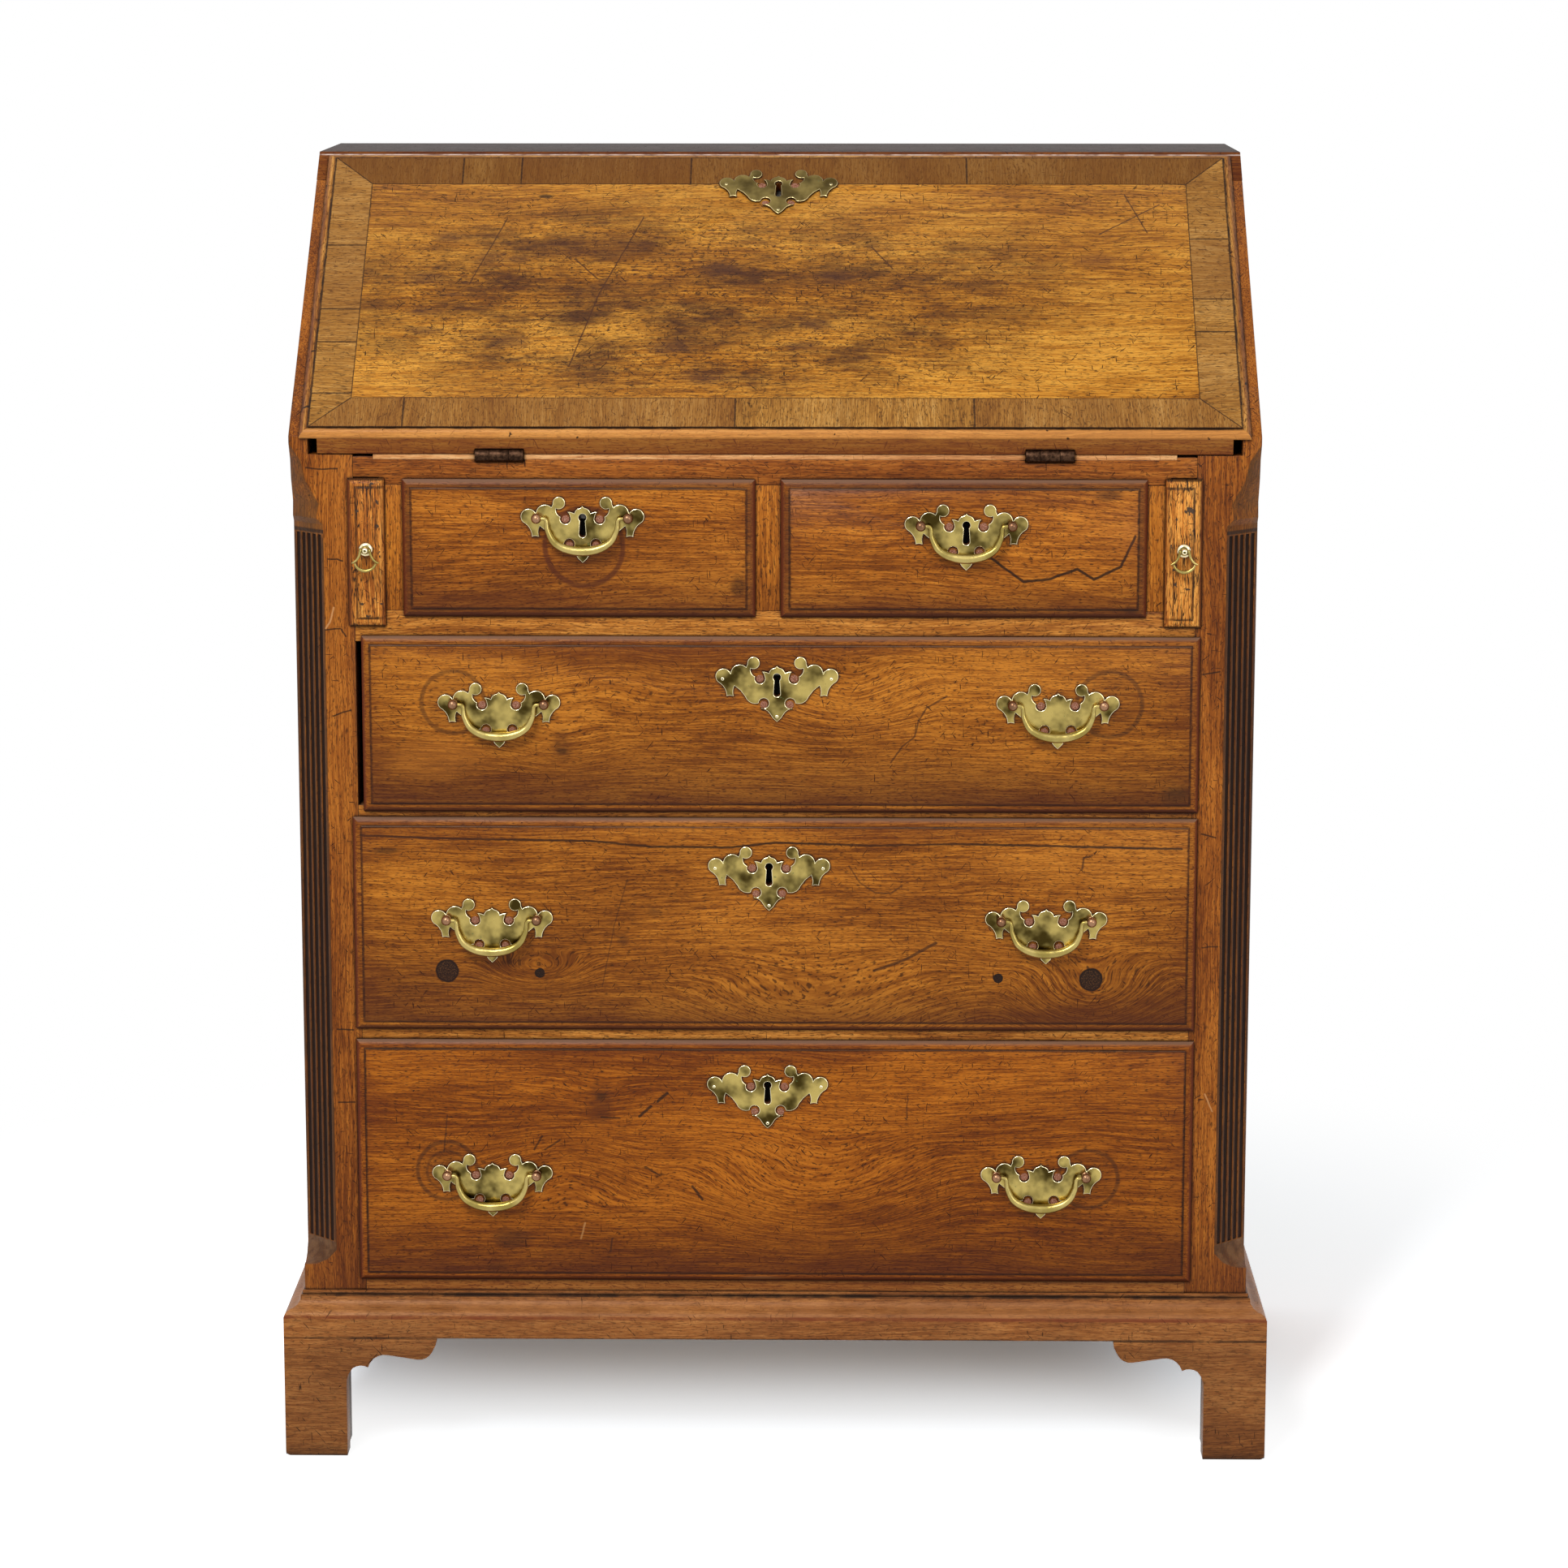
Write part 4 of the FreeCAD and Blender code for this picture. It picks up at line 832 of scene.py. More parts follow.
fall_patches = [
    (-230, 192, 24, 12), (-266, 217, 18, 9), (-209, 192, 12, 8), (-283, 170, 20, 9), (-260, 151, 12, 3),
    (-281, 131, 22, 7), (-280, 110, 22, 7), (-46, 181, 26, 14), (-84, 93, 24, 12), (-56, 58, 28, 10),
    (-210, 97, 26, 10), (46, 172, 24, 12), (33, 117, 20, 10), (20, 94, 24, 8),
]
marks_fall = [
    *[(patch, srgb(76, 44, 30), *row, 0.55, 0.8) for row in fall_patches],
    (patch, srgb(80, 44, 24), -140, 205, 80, 24, 0.45),
    (patch, srgb(112, 62, 30), 257, 192, 26, 12, 0.5),
    (patch, soot, -190, 265.6, 8, 3, 0.8, 0.5),
    *each(scratch, srgb(72, 40, 22), (1.1, 0.85, (-109, 241), (-142, 153), (-163, 71)),
          (1.1, 0.8, (-220, 239), (-247, 163)), (1.3, 0.85, (-163, 192), (-144, 169)),
          (1.1, 0.85, (310, 256), (260, 221)), (1.1, 0.8, (282, 268), (299, 223)),
          (1.3, 0.85, (76, 206), (93, 181))),
    (scratch, umber, 1.8, 0.8, (280, 154), (287, 153.5)),
]


def rim_of(node):
    low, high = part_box(node)
    return low.x, high.x, low.z, high.z


def front_wood(drawer, tones, seed, knots, marks, lip_dark=0.0):
    return wood(drawer.replace("_drawer", ""), grain_x, tones, seed, front_point, knots, marks,
                rim=rim_of(drawer + "_front"), lip_dark=lip_dark, wear=1.3, touch=lip_touch)


def loper_wood(name, seed):
    return wood(name, grain_stile, loper_tones, seed, front_point, rim=rim_of(name), rim_dark=0.5,
                touch=loper_touch)


front_woods = [
    front_wood("short_drawer_left", small_tones, 3.1, [], marks_left, 0.7),
    front_wood("short_drawer_right", small_tones, 17.4, [], marks_right, 0.7),
    front_wood("long_drawer_1", drawer_tones, 41.8, knots_1, marks_1),
    front_wood("long_drawer_2", drawer_tones, 60.3, knots_2, marks_2),
    front_wood("long_drawer_3", low_drawer_tones, 87.2, knots_3, marks_3),
]
fall_wood = wood("fall", grain_slope, fall_tones, 7.7, fall_point, [], marks_fall, wear=1.5,
                 stain=srgb(66, 34, 20), stain_share=0.94, worn_place=fall_worn_place, touch=fall_touch)
band_wood = wood("band", grain_across_band, band_tones, 23.0, fall_point, figure=0.8, wear=0.9, fine=0.45,
                 stain=srgb(100, 62, 28), stain_share=0.36, touch=band_touch)
fall_lip_wood = wood("fall_lip", grain_along_band, lip_tones, 5.2, fall_point, touch=fall_lip_touch)
rail_wood = wood("case_rails", grain_x, rail_tones, 31.0, front_point, touch=rail_touch)
top_rail_wood = wood("top_rail", grain_x, top_rail_tones, 35.5, front_point, touch=lip_touch)
side_wood = wood("case_sides", grain_z, case_tones, 49.0)
post_wood = wood("posts", grain_z, case_tones, 52.0, front_point, [], marks_posts, touch=post_touch)
stile_wood = wood("stiles", grain_stile, small_tones, 71.0)
top_wood = wood("top", grain_x, case_tones, 37.0, rough=0.5, specular=0.07, touch=top_touch)
base_wood = wood("base", grain_round, base_tones, 91.0, figure=0.8, fine=0.45, pore_share=0.5,
                 stain=srgb(96, 54, 30), stain_share=0.42, touch=base_touch)
strip_wood = wood("strip", grain_x, strip_tones, 19.0, pore_share=0.35, grime_and_shade=0.6)
box_wood = wood("drawer_boxes", grain_box, second_tones, 29.0, rough=0.6, pore_share=0.4)
back_wood = wood("back", grain_z, second_tones, 33.0, rough=0.7, stain=srgb(96, 74, 56), stain_share=0.5)
fitting_wood = wood("fitting", grain_box, fitting_tones, 66.0)


# Metals

def brass(name, dull, clear, rough_base, bright=None, outward=None):
    """Old cast brass, clouded and spotted; where a plate turns over its edge it is rubbed bright and given a
    painted highlight.
    """
    shader = Shader(name)
    cloud = shader.mottle(45.0, 3.0, 0.55)
    fine = shader.mottle(800.0, 3.0, 0.7)
    colour = shader.mix(cloud.step(0.34, 0.66), dull, clear)
    rough = cloud * 0.12 + rough_base
    if outward is not None:
        facing = shader.vector("DOT_PRODUCT", shader.normal, outward)
        turning = facing.step(0.985, 0.90)
        rubbed = shader.math("SUBTRACT", turning, facing.step(0.30, 0.05), clamp=True)
        # rubbed brass and a painted highlight where the plate turns over its edge
        colour = colour.coat(rubbed, bright)
        rough = rough - turning * 0.08
    colour = colour.coat(fine.step(0.66, 0.74, 0.0, 0.6), 52, 42, 22)
    colour = colour.coat(shader.mottle(300.0, 2.0, 0.6).step(0.69, 0.76, 0.0, 0.6), 96, 112, 70)
    colour = colour.coat(shader.hollow(2.2 * MM).step(0.25, 0.85, 0.0, 0.85), 40, 28, 14)
    relief = cloud * 9.0 + fine * 0.12
    return shader.finish(colour, rough, shader.bump(relief, 0.25 * MM, 0.6), 0.5, metal=1.0)


def plain_metal(name, dark, light, rough, metal=1.0):
    shader = Shader(name)
    cloud = shader.mottle(400.0, 5.0, 0.65)
    colour = shader.mix(cloud.step(0.35, 0.68), dark, light)
    colour = colour.coat(shader.hollow(3.0 * MM).step(0.30, 0.9, 0.0, 0.7), 36, 26, 20)
    return shader.finish(colour, cloud * 0.25 + rough, shader.bump(cloud, 0.12 * MM, 0.5), 0.3, metal)


def make_wax():
    """Dried polish, pinkish and crumbled, left in the piercings of the plates."""
    shader = Shader("dried_wax")
    crumbs = shader.mottle(1400.0, 4.0, 0.7)
    pinks = tone_set((92, 48, 30), (150, 94, 70), (214, 176, 156))
    colour = shader.ramp(crumbs, zip((0.35, 0.52, 0.70), pinks))
    return shader.finish(colour, 0.7, shader.bump(crumbs, 0.3 * MM, 0.8), 0.2)


# the third colour of each plate is the painted highlight on its turned edges
plate_brass = brass("brass_plates", srgb(64, 52, 20), srgb(194, 172, 98), 0.16, srgb(252, 242, 200),
                    (0, -1, 0))
fall_brass = brass("brass_fall_plate", srgb(80, 66, 32), srgb(142, 123, 70), 0.26, srgb(198, 180, 130),
                   (0, -slope_sin, slope_cos))
bail_brass = brass("brass_bails", srgb(150, 132, 68), srgb(190, 170, 104), 0.24)
head_brass = brass("brass_post_heads", srgb(120, 86, 62), srgb(164, 124, 94), 0.26)
# the locks' near-black colour is painted shade, seen through the keyholes
shaded_lock_iron = plain_metal("shaded_lock_iron", srgb(9, 7, 5), srgb(22, 18, 15), 0.7, metal=0.0)
hinge_bronze = plain_metal("hinge_bronze", srgb(42, 28, 20), srgb(84, 60, 44), 0.34)
bolt_iron = plain_metal("bolt_iron", srgb(96, 92, 88), srgb(150, 146, 140), 0.32)
dried_wax = make_wax()

# What the numbers of a fitting's faces stand for
HEAD, IRON, WAX = 1, 2, 3
fitting_metals = [head_brass, shaded_lock_iron, dried_wax]


# Finishing the frame's own nodes

def link(name, data):
    """A new object in the scene."""
    made = bpy.data.objects.new(name, data)
    bpy.context.scene.collection.objects.link(made)
    return made


def modify(obj, name, kind, **settings):
    made = obj.modifiers.new(name, kind)
    for key, value in settings.items():
        setattr(made, key, value)


def dress(material, width, *names):
    """Nodes in their material, with sharp edges rounded by a width in millimetres, as wear does."""
    for name in names:
        node = nodes[name]
        node.data.materials.clear()
        node.data.materials.append(material)
        modify(node, "weld", "WELD", merge_threshold=0.01 * MM)
        modify(node, "flat", "DECIMATE", decimate_type="DISSOLVE", angle_limit=flat_turn)
        modify(node, "ease", "BEVEL", width=width * MM, segments=2, limit_method="ANGLE",
               angle_limit=eased_turn)
        modify(node, "shade", "NODES", node_group=SMOOTHING)


def add_piece(name, mesh, materials, body, stands_for):
    """A finished mesh as a piece that rides a body in the place of a node."""
    shape = bpy.data.meshes.new(name)
    bmesh.ops.recalc_face_normals(mesh, faces=mesh.faces)
    mesh.to_mesh(shape)
    mesh.free()
    for material in materials:
        shape.materials.append(material)
    piece = link(name, shape)
    modify(piece, "shade", "NODES", node_group=SMOOTHING)
    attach(piece, body)
    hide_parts(stands_for)
    return piece


def solids_of(name):
    """The closed solids of a node, each as a list of faces of points."""
    shape = nodes[name].data
    solids = []
    faces = []
    open_edges = set()
    for polygon in shape.polygons:
        points = [tuple(round(c, 6) for c in shape.vertices[i].co) for i in polygon.vertices]
        faces.append(points)
        for i in range(len(points)):
            open_edges ^= {frozenset((points[i], points[i - 1]))}
        if not open_edges:
            solids.append(faces)
            faces = []
    return solids


def dress_joined(material, width, name):
    """A node whose pieces meet face to face: each is welded on its own, and edges on a joint stay sharp."""
    solids = solids_of(name)
    owners = {}
    for number, faces in enumerate(solids):
        for points in faces:
            for point in points:
                owners.setdefault(point, set()).add(number)
    mesh = bmesh.new()
    weight = mesh.edges.layers.float.new("bevel_weight_edge")
    joint = set()
    for faces in solids:
        known = {}
        for points in faces:
            for point in points:
                if point not in known:
                    known[point] = mesh.verts.new(point)
                    if len(owners[point]) > 1:
                        joint.add(known[point])
            mesh.faces.new([known[point] for point in points])
    bmesh.ops.recalc_face_normals(mesh, faces=mesh.faces)
    bmesh.ops.dissolve_limit(mesh, angle_limit=flat_turn, verts=mesh.verts, edges=mesh.edges)
    for edge in mesh.edges:
        met = edge.verts[0] in joint and edge.verts[1] in joint
        if not met and len(edge.link_faces) == 2 and edge.calc_face_angle() > eased_turn:
            edge[weight] = 1.0
    piece = add_piece(name + "_finished", mesh, [material], nodes[name]["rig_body"], name)
    modify(piece, "ease", "BEVEL", width=width * MM, segments=2, limit_method="WEIGHT")
    piece.modifiers.move(len(piece.modifiers) - 1, 0)


# Shapes of the fittings, in (u, v, outward)

def close_rings(mesh, rings, material):
    sides = len(rings[0])
    for low, high in zip(rings, rings[1:]):
        for k in range(sides):
            face = mesh.faces.new((low[k], low[(k + 1) % sides], high[(k + 1) % sides], high[k]))
            face.material_index = material
    for ring in (rings[0][::-1], rings[-1]):
        mesh.faces.new(ring).material_index = material


def turns(sides):
    return [2 * math.pi * k / sides for k in range(sides)]


def catmull(spots, count):
    """A smooth run of points through (u, v, radius) spots."""
    run = []
    for i in range(len(spots) - 1):
        a, b, c, d = (Vector(spots[min(max(i + k, 0), len(spots) - 1)]) for k in (-1, 0, 1, 2))
        for k in range(count):
            t = k / count
            run.append(0.5 * (2 * b + (c - a) * t + (2 * a - 5 * b + 4 * c - d) * t * t
                              + (3 * b - a - 3 * c + d) * t ** 3))
    run.append(Vector(spots[-1]))
    return run


def sweep(mesh, spots, place, count=5, sides=14):
    """A round bar through (u, v, radius) spots in the plane of a fitting."""
    run = catmull(spots, count)
    rings = []
    for i, spot in enumerate(run):
        ahead = (run[min(i + 1, len(run) - 1)] - run[max(i - 1, 0)]).xy.normalized()
        across = Vector((-ahead.y, ahead.x))
        ring = []
        for turn in turns(sides):
            flat = spot.xy + across * (spot.z * math.cos(turn))
            ring.append(mesh.verts.new(place @ Vector((flat.x, flat.y, spot.z * math.sin(turn)))))
        rings.append(ring)
    close_rings(mesh, rings, 0)


def lathe(mesh, stations, place, sides, material=0):
    """A turned piece along the fitting's outward axis, through (height, radius) stations."""
    rings = [[mesh.verts.new(place @ Vector((radius * math.cos(turn), radius * math.sin(turn), height)))
              for turn in turns(sides)] for height, radius in stations]
    close_rings(mesh, rings, material)


def rounded(radius, rise, base, angles):
    """Stations of a round head, at angles above its widest place."""
    return [(base + rise * math.sin(math.radians(angle)), radius * math.cos(math.radians(angle)))
            for angle in angles]


def dome(radius, rise, base=0.0):
    """Stations of a low round head."""
    return rounded(radius, rise, base, (0, 25, 50, 70, 84))


def block(mesh, low, high, place, material):
    corners = [Vector((u, v, p)) for p in (low[2], high[2]) for u, v in (
        (low[0], low[1]), (high[0], low[1]), (high[0], high[1]), (low[0], high[1]))]
    verts = [mesh.verts.new(place @ corner) for corner in corners]
    for face in ((3, 2, 1, 0), (4, 5, 6, 7), (0, 1, 5, 4), (1, 2, 6, 5), (2, 3, 7, 6), (3, 0, 4, 7)):
        mesh.faces.new([verts[i] for i in face]).material_index = material


def arc(start, middle, end, step=14.0):
    """Points of the round arc through three places, without the first, at most so many degrees apart."""
    ax, ay = start
    bx, by = middle
    cx, cy = end
    a, b, c = (x * x + y * y for x, y in (start, middle, end))
    d = 2 * (ax * (by - cy) + bx * (cy - ay) + cx * (ay - by))
    ux = (a * (by - cy) + b * (cy - ay) + c * (ay - by)) / d
    uy = (a * (cx - bx) + b * (ax - cx) + c * (bx - ax)) / d
    radius = math.hypot(ax - ux, ay - uy)
    first = math.atan2(ay - uy, ax - ux)
    through = (math.atan2(by - uy, bx - ux) - first) % (2 * math.pi)
    whole = (math.atan2(cy - uy, cx - ux) - first) % (2 * math.pi)
    if through > whole:
        whole -= 2 * math.pi
    count = max(2, math.ceil(abs(math.degrees(whole)) / step))
    angles = [first + whole * i / count for i in range(1, count + 1)]
    return [(ux + radius * math.cos(angle), uy + radius * math.sin(angle)) for angle in angles]


def outline(start, segments):
    """Points along a run of segments, each an (end) or a (middle, end) of an arc."""
    points = [start]
    for segment in segments:
        if len(segment) == 1:
            points.append(segment[0])
        else:
            points += arc(points[-1], *segment)
    return points


half_wing = outline((0.0, 9.6), [
    ((0.8, 8.3), (2.4, 7.5)), ((5.0, 6.1), (6.3, 3.4)), ((8.8, 4.4), (12.2, 4.8)),
    ((10.4, 2.9), (9.77, 0.69)), ((13.4, -5.0), (17.03, 0.69)), ((19.8, 3.0), (20.7, 7.17)),
    ((14.44, 14.38), (23.2, 10.65)), ((24.2, 8.2),), ((29.6, 10.3), (36.4, 3.2)),
    ((46.6, 5.2), (46.58, -3.58)), ((41.6, -8.2), (39.6, -14.2)), ((40.2, -15.4),),
    ((37.0, -14.5), (33.8, -15.4)), ((34.5, -11.0), (33.4, -6.6)), ((28.6, -10.6), (25.0, -15.4)),
    ((20.6, -20.3), (14.4, -20.6)), ((7.1, -18.3), (11.77, -24.36)), ((12.8, -25.0),),
    ((8.8, -26.0), (5.9, -28.6)), ((3.4, -32.4), (0.0, -35.6))])
bat_wing = mm_rows(half_wing + [(-u, v) for u, v in reversed(half_wing[1:-1])])
key_neck = 0.62 * key_eye
key_foot = 0.86 * key_eye
keyhole = outline((-key_neck, -0.78 * key_eye), [
    ((0, key_eye), (key_neck, -0.78 * key_eye)), ((key_foot, -key_drop + key_foot),),
    ((0, -key_drop), (-key_foot, -key_drop + key_foot))])
wax_spots = [(13.4, -1.2, 3.1), (10.4, -21.9, 3.0)]
wax_stations = [(-0.05, 1.0), (0.25, 0.92), (0.38, 0.5), (0.42, 0.1)]
plate_pins = [(-42.8, -1.2), (42.8, -1.2), (0.0, -31.2)]


def moved(place, u, v):
    """A fitting's place moved along its plate, in millimetres."""
    return place @ Matrix.Translation(mm(u, v, 0))


def plate(mesh, place, with_keyhole):
    """A bat-wing plate with softened edges, its back on the wood."""
    drawing = bpy.data.curves.new("plate_drawing", "CURVE")
    drawing.dimensions = "2D"
    drawing.fill_mode = "BOTH"
    drawing.extrude = plate_thickness / 2 - plate_bevel
    drawing.bevel_depth = plate_bevel
    drawing.bevel_resolution = 3
    drawing.offset = -plate_bevel
    for points in [bat_wing] + ([keyhole] if with_keyhole else []):
        spline = drawing.splines.new("POLY")
        spline.points.add(len(points) - 1)
        for spot, (u, v) in zip(spline.points, points):
            spot.co = (u, v, 0, 1)
        spline.use_cyclic_u = True
    holder = link("plate_drawing", drawing)
    bpy.context.view_layer.update()
    shape = bpy.data.meshes.new_from_object(holder.evaluated_get(bpy.context.evaluated_depsgraph_get()))
    bpy.data.objects.remove(holder)
    bpy.data.curves.remove(drawing)
    for way in (-1, 1):
        for u, v, size in wax_spots:
            lathe(mesh, mm_rows((h, r * size) for h, r in wax_stations), moved(place, way * u, v), 14, WAX)
    shape.transform(place @ Matrix.Translation((0, 0, plate_thickness / 2)))
    mesh.from_mesh(shape)
    bpy.data.meshes.remove(shape)


def lock_case(mesh, place, top):
    """A lock of plates round the bolt's slot, from the back of the front; rivets on its cover."""
    half = lock_width / 2
    low = top - lock_height
    for u0, u1, high, p0, p1 in ((-half, half, top, 0, lock_cover),
                                 (-half, -bolt_slot, top, lock_cover, lock_depth),
                                 (bolt_slot, half, top, lock_cover, lock_depth),
                                 (-bolt_slot, bolt_slot, top - bolt_room, lock_cover, lock_depth)):
        block(mesh, (u0, low, p0), (u1, high, p1), place, IRON)
    under = place @ Matrix.Rotation(math.pi, 4, "X")
    for u in (-0.8 * half, 0.8 * half):
        for v in (low + 6 * MM, top - 6 * MM):
            lathe(mesh, dome(1.9 * MM, 1.0 * MM), under @ Matrix.Translation((u, -v, 0)), 12)


def post(mesh, place):
    """A ball-headed post that holds a bail's pin."""
    stem = mm_rows([(0.0, 3.3), (0.7, 3.2), (1.2, 2.5), (2.4, 2.2)])
    ball = rounded(ball_radius, ball_radius, plate_thickness + post_stand, (-46, -28, -8, 12, 32, 50, 66, 76))
    lathe(mesh, [(plate_thickness + height, radius) for height, radius in stem] + ball, place, 20, HEAD)


def escutcheon(mesh, place):
    plate(mesh, place, True)
    for u, v in plate_pins:
        lathe(mesh, dome(1.5 * MM, 0.9 * MM, plate_thickness - 0.1 * MM), moved(place, u, v), 12)


def on_front(x, z, y=front_y - field_proud):
    """Places a fitting on a front at (x, z)."""
    return Matrix(((1, 0, 0, x), (0, 0, -1, y), (0, 1, 0, z), (0, 0, 0, 1)))


def on_fall(x, s, n):
    y = front_y + slope_cos * s - slope_sin * n
    z = slope_foot_z + slope_sin * s + slope_cos * n
    return Matrix(((1, 0, 0, x), (0, slope_cos, -slope_sin, y), (0, slope_sin, slope_cos, z), (0, 0, 0, 1)))


# The brasses in their places

bail_half = [(34.5, 0.0, 1.3), (31.0, 0.0, 1.4), (29.0, -0.4, 1.5), (27.9, -2.0, 1.6), (27.6, -5.0, 1.75),
             (26.8, -9.9, 2.15), (22.2, -18.5, 2.75), (12.5, -24.0, 3.4)]
bail_spots = mm_rows(bail_half + [(0.0, -25.7, 3.8)] + [(-u, v, r) for u, v, r in reversed(bail_half)])

for drawer in drawer_names:
    fittings = bmesh.new()
    for name in joints:
        if not name.startswith(drawer + "_bail"):
            continue
        x, y, z = joints[name]["pos_m"]
        place = on_front(x, z)
        plate(fittings, place, drawer not in escutcheons)
        for side in (-1, 1):
            post(fittings, place @ Matrix.Translation((side * post_spacing / 2, 0, 0)))
        swing = bmesh.new()
        sweep(swing, bail_spots, on_front(x, z, y))
        body = joints[name]["child"]
        add_piece(body + "_cast", swing, [bail_brass], body, body)
    if drawer in escutcheons:
        escutcheon(fittings, on_front(*escutcheons[drawer]))
    bolt_low, bolt_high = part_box(drawer + "_lock_bolt")
    lock_case(fittings, on_front((bolt_low.x + bolt_high.x) / 2, 0, front_y + front_thickness),
              bolt_high.z + 0.5 * MM)
    add_piece(drawer + "_brasses", fittings, [plate_brass] + fitting_metals, drawer,
              drawer + "_brassware")

fittings = bmesh.new()
escutcheon(fittings, on_fall(*fall_key, field_proud))
lock_case(fittings, on_fall(0, 0, fall_back), fall_lock_top)
add_piece("fall_brasses", fittings, [fall_brass] + fitting_metals, "fall", "fall_brassware")

arm_spots = [(3.4, 1.2, 1.3), (3.7, -0.6, 1.25), (4.5, -4.0, 1.05), (6.6, -7.4, 0.95), (8.8, -9.2, 0.9),
             (10.6, -9.9, 0.55)]
grip_spots = [(-8.3, -10.2, 0.8), (-7.0, -12.6, 1.05), (-4.2, -15.0, 1.25), (0.0, -16.1, 1.4),
              (4.2, -15.0, 1.25), (7.0, -12.6, 1.05), (8.3, -10.2, 0.8)]
eye_stations = [(-0.2, 0.8), (0.1, 1.7), (0.9, 2.05), (1.7, 1.7), (2.0, 0.8)]
rose_stations = [(0.0, 5.6), (0.5, 5.6), (1.3, 5.2), (2.0, 4.3), (2.3, 3.4), (2.4, 2.7), (3.4, 2.2),
                 (4.6, 2.2), (5.6, 2.5), (6.8, 2.6), (8.0, 2.3), (8.7, 1.5), (8.95, 0.6)]
for loper in ("loper_left", "loper_right"):
    x, y, z = joints[loper + "_drop_swing"]["pos_m"]
    rose = bmesh.new()
    lathe(rose, mm_rows(rose_stations), on_front(x, z), 24)
    add_piece(loper + "_rose_cast", rose, [plate_brass], loper, loper + "_rose")
    drop = bmesh.new()
    place = on_front(x, z, y)
    for way in (-1, 1):
        sweep(drop, mm_rows((way * u, v, r) for u, v, r in arm_spots), place)
        lathe(drop, mm_rows(eye_stations),
              moved(place, way * 2.5, 0) @ Matrix.Rotation(way * math.pi / 2, 4, "Y"), 16)
    sweep(drop, mm_rows(grip_spots), place)
    add_piece(loper + "_drop_cast", drop, [bail_brass], loper + "_drop", loper + "_drop")


# Finishes on the frame

dress(side_wood, 0.8, "side_left", "side_right")
dress(post_wood, 0.6, "corner_post_left", "corner_post_right")
dress(loper_wood("loper_left", 13.0), 0.6, "loper_left")
dress(loper_wood("loper_right", 14.7), 0.6, "loper_right")
dress(top_wood, 1.2, "top_board")
dress(back_wood, 0.8, "back_boards")
dress(box_wood, 0.8, "bottom_board", "drawer_runners")
dress(top_rail_wood, 0.8, "top_rail")
dress(rail_wood, 0.8, "drawer_rails", "writing_deck")
dress(stile_wood, 0.8, "drawer_dividers")
dress(strip_wood, 0.4, "hinge_strip")
dress_joined(base_wood, 0.8, "base_moulding")
dress_joined(base_wood, 1.0, "bracket_feet")
dress(fitting_wood, 0.8, "pigeonholes")
dress(fitting_wood, 0.6, "fitting_drawer_left", "fitting_drawer_centre", "fitting_drawer_right")
dress(fall_wood, 0.8, "fall_panel")
dress_joined(band_wood, 0.2, "fall_crossbanding")
dress_joined(fall_lip_wood, 0.5, "fall_lip_moulding")
dress(hinge_bronze, 0.3, "hinge_case_leaves", "fall_hinge_leaves")
dress(bolt_iron, 0.3, "fall_lock_bolt")
for drawer, finish in zip(drawer_names, front_woods):
    dress(finish, 0.8, drawer + "_front")
    dress(box_wood, 0.6, drawer + "_box")
    dress(bolt_iron, 0.3, drawer + "_lock_bolt")


# Studio

def blank_graph(owner):
    owner.use_nodes = True
    owner.node_tree.nodes.clear()
    return Graph(owner.node_tree)


def show(graph, room, seen, kind):
    """Rays that look at the background, from the camera, off metal or through glass, meet one surface, and
    all others meet the room's."""
    path = graph.add("ShaderNodeLightPath", {})
    looking = graph.most(*[Wire(graph, path.outputs[name])
                           for name in ("Is Camera Ray", "Is Glossy Ray", "Is Transmission Ray")])
    graph.add(kind, {0: graph.make("ShaderNodeMixShader", {0: looking, 1: room, 2: seen})})


def floor_tint(*shares):
    return tuple(share * floor_white for share in shares) + (1.0,)


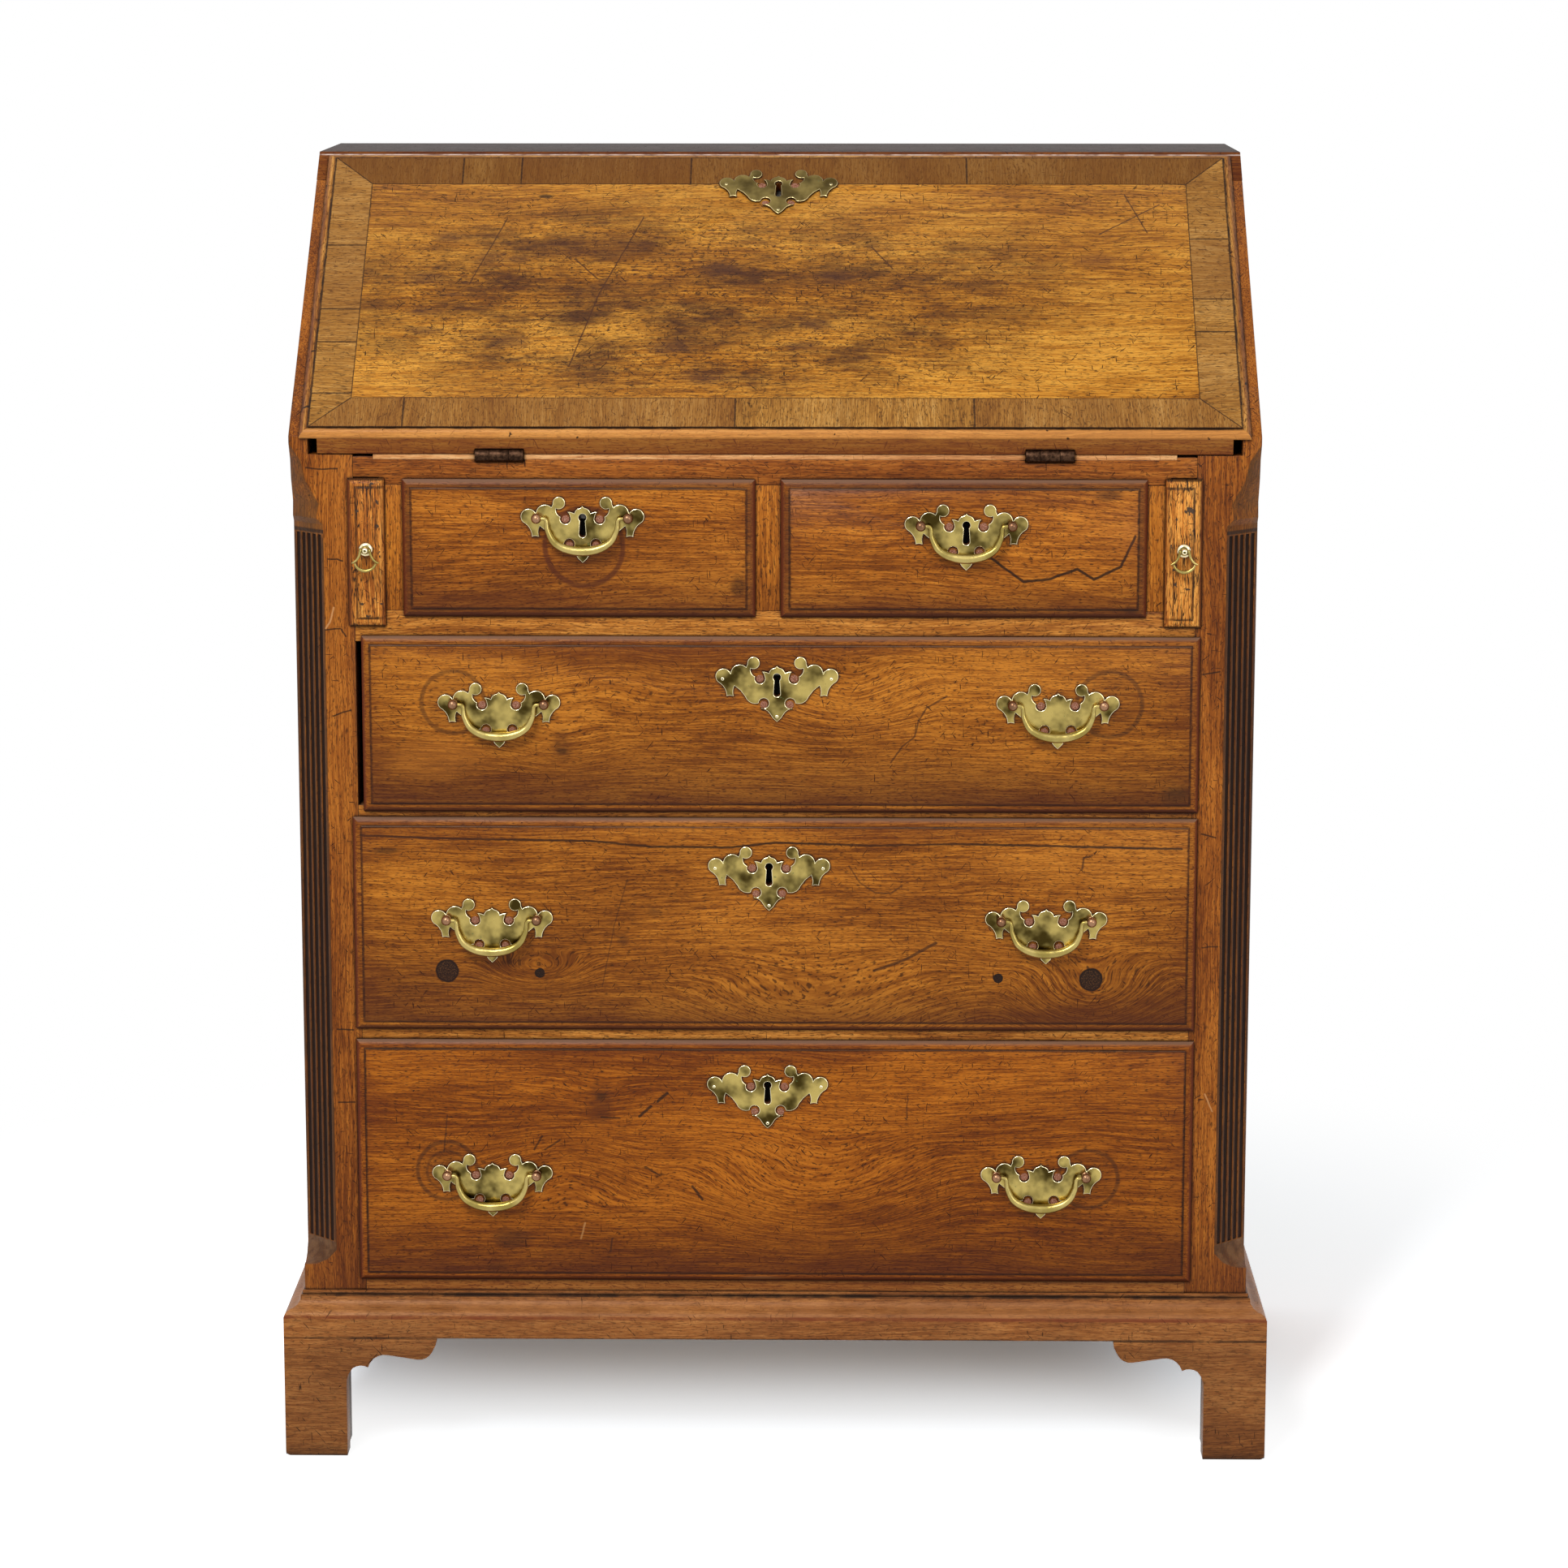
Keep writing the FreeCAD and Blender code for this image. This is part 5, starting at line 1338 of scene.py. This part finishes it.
def make_floor():
    """A white sheet: it takes the object's shadow nearby and runs out to plain white. It is a little cool
    under the object, where the wood throws warm light on it."""
    corners = [(x * floor_half, y * floor_half, 0) for x, y in ((-1, -1), (1, -1), (1, 1), (-1, 1))]
    shape = bpy.data.meshes.new("floor")
    shape.from_pydata(corners, [], [(0, 1, 2, 3)])
    floor = link("floor", shape)
    floor.location.z = -floor_drop
    material = bpy.data.materials.new("white_floor")
    graph = blank_graph(material)
    place = graph.make("ShaderNodeTexCoord", {}, "Object")
    y = graph.split(place)[1]
    wide, deep = floor_cool
    under = graph.vector("LENGTH", graph.vector("MULTIPLY", place, (1 / wide, 1 / deep, 0))).step(1.0, 0.72)
    tint = graph.mix(under, floor_tint(0.97, 1.0, 1.02), floor_tint(0.87, 0.98, 1.08))
    near = graph.make("ShaderNodeBsdfDiffuse", {"Color": tint})
    far = graph.make("ShaderNodeEmission", {"Color": white, "Strength": 1.0})
    fade = graph.vector("LENGTH", place).step(*floor_fade)
    away = graph.most(fade, y.step(*floor_ahead, 0.0, floor_ahead_share))
    seen = graph.make("ShaderNodeMixShader", {0: away, 1: near, 2: far})
    room = graph.make("ShaderNodeBsdfDiffuse", {"Color": (floor_grey, floor_grey, floor_grey, 1.0)})
    show(graph, room, seen, "ShaderNodeOutputMaterial")
    shape.materials.append(material)


def make_world():
    world = bpy.data.worlds.new("studio")
    bpy.context.scene.world = world
    graph = blank_graph(world)
    room = graph.make("ShaderNodeBackground", {"Color": white, "Strength": world_strength})
    seen = graph.make("ShaderNodeBackground", {"Color": white, "Strength": 1.0})
    show(graph, room, seen, "ShaderNodeOutputWorld")


def add_lamp(name, place, aim, size, power):
    light = bpy.data.lights.new(name, "AREA")
    light.shape = "SQUARE"
    light.size = size
    light.energy = power
    lamp = link(name, light)
    lamp.location = place
    lamp.rotation_euler = (Vector(aim) - Vector(place)).to_track_quat("-Z", "Y").to_euler()


make_floor()
make_world()
add_lamp("softbox_left", (-1.1, -2.7, 3.1), (0, -0.1, 0.45), 1.3, 84.0)
add_lamp("softbox_right", (2.2, -3.2, 1.6), (0, -0.1, 0.5), 1.6, 30.0)

camera_data = bpy.data.cameras.new("camera")
camera_data.lens = camera_lens
camera_data.sensor_width = camera_sensor
camera = link("camera", camera_data)
camera.location = camera_place
camera.rotation_euler = (math.pi / 2 - camera_pitch, 0, camera_yaw)
bpy.context.scene.camera = camera
bpy.context.scene.view_settings.view_transform = "Standard"
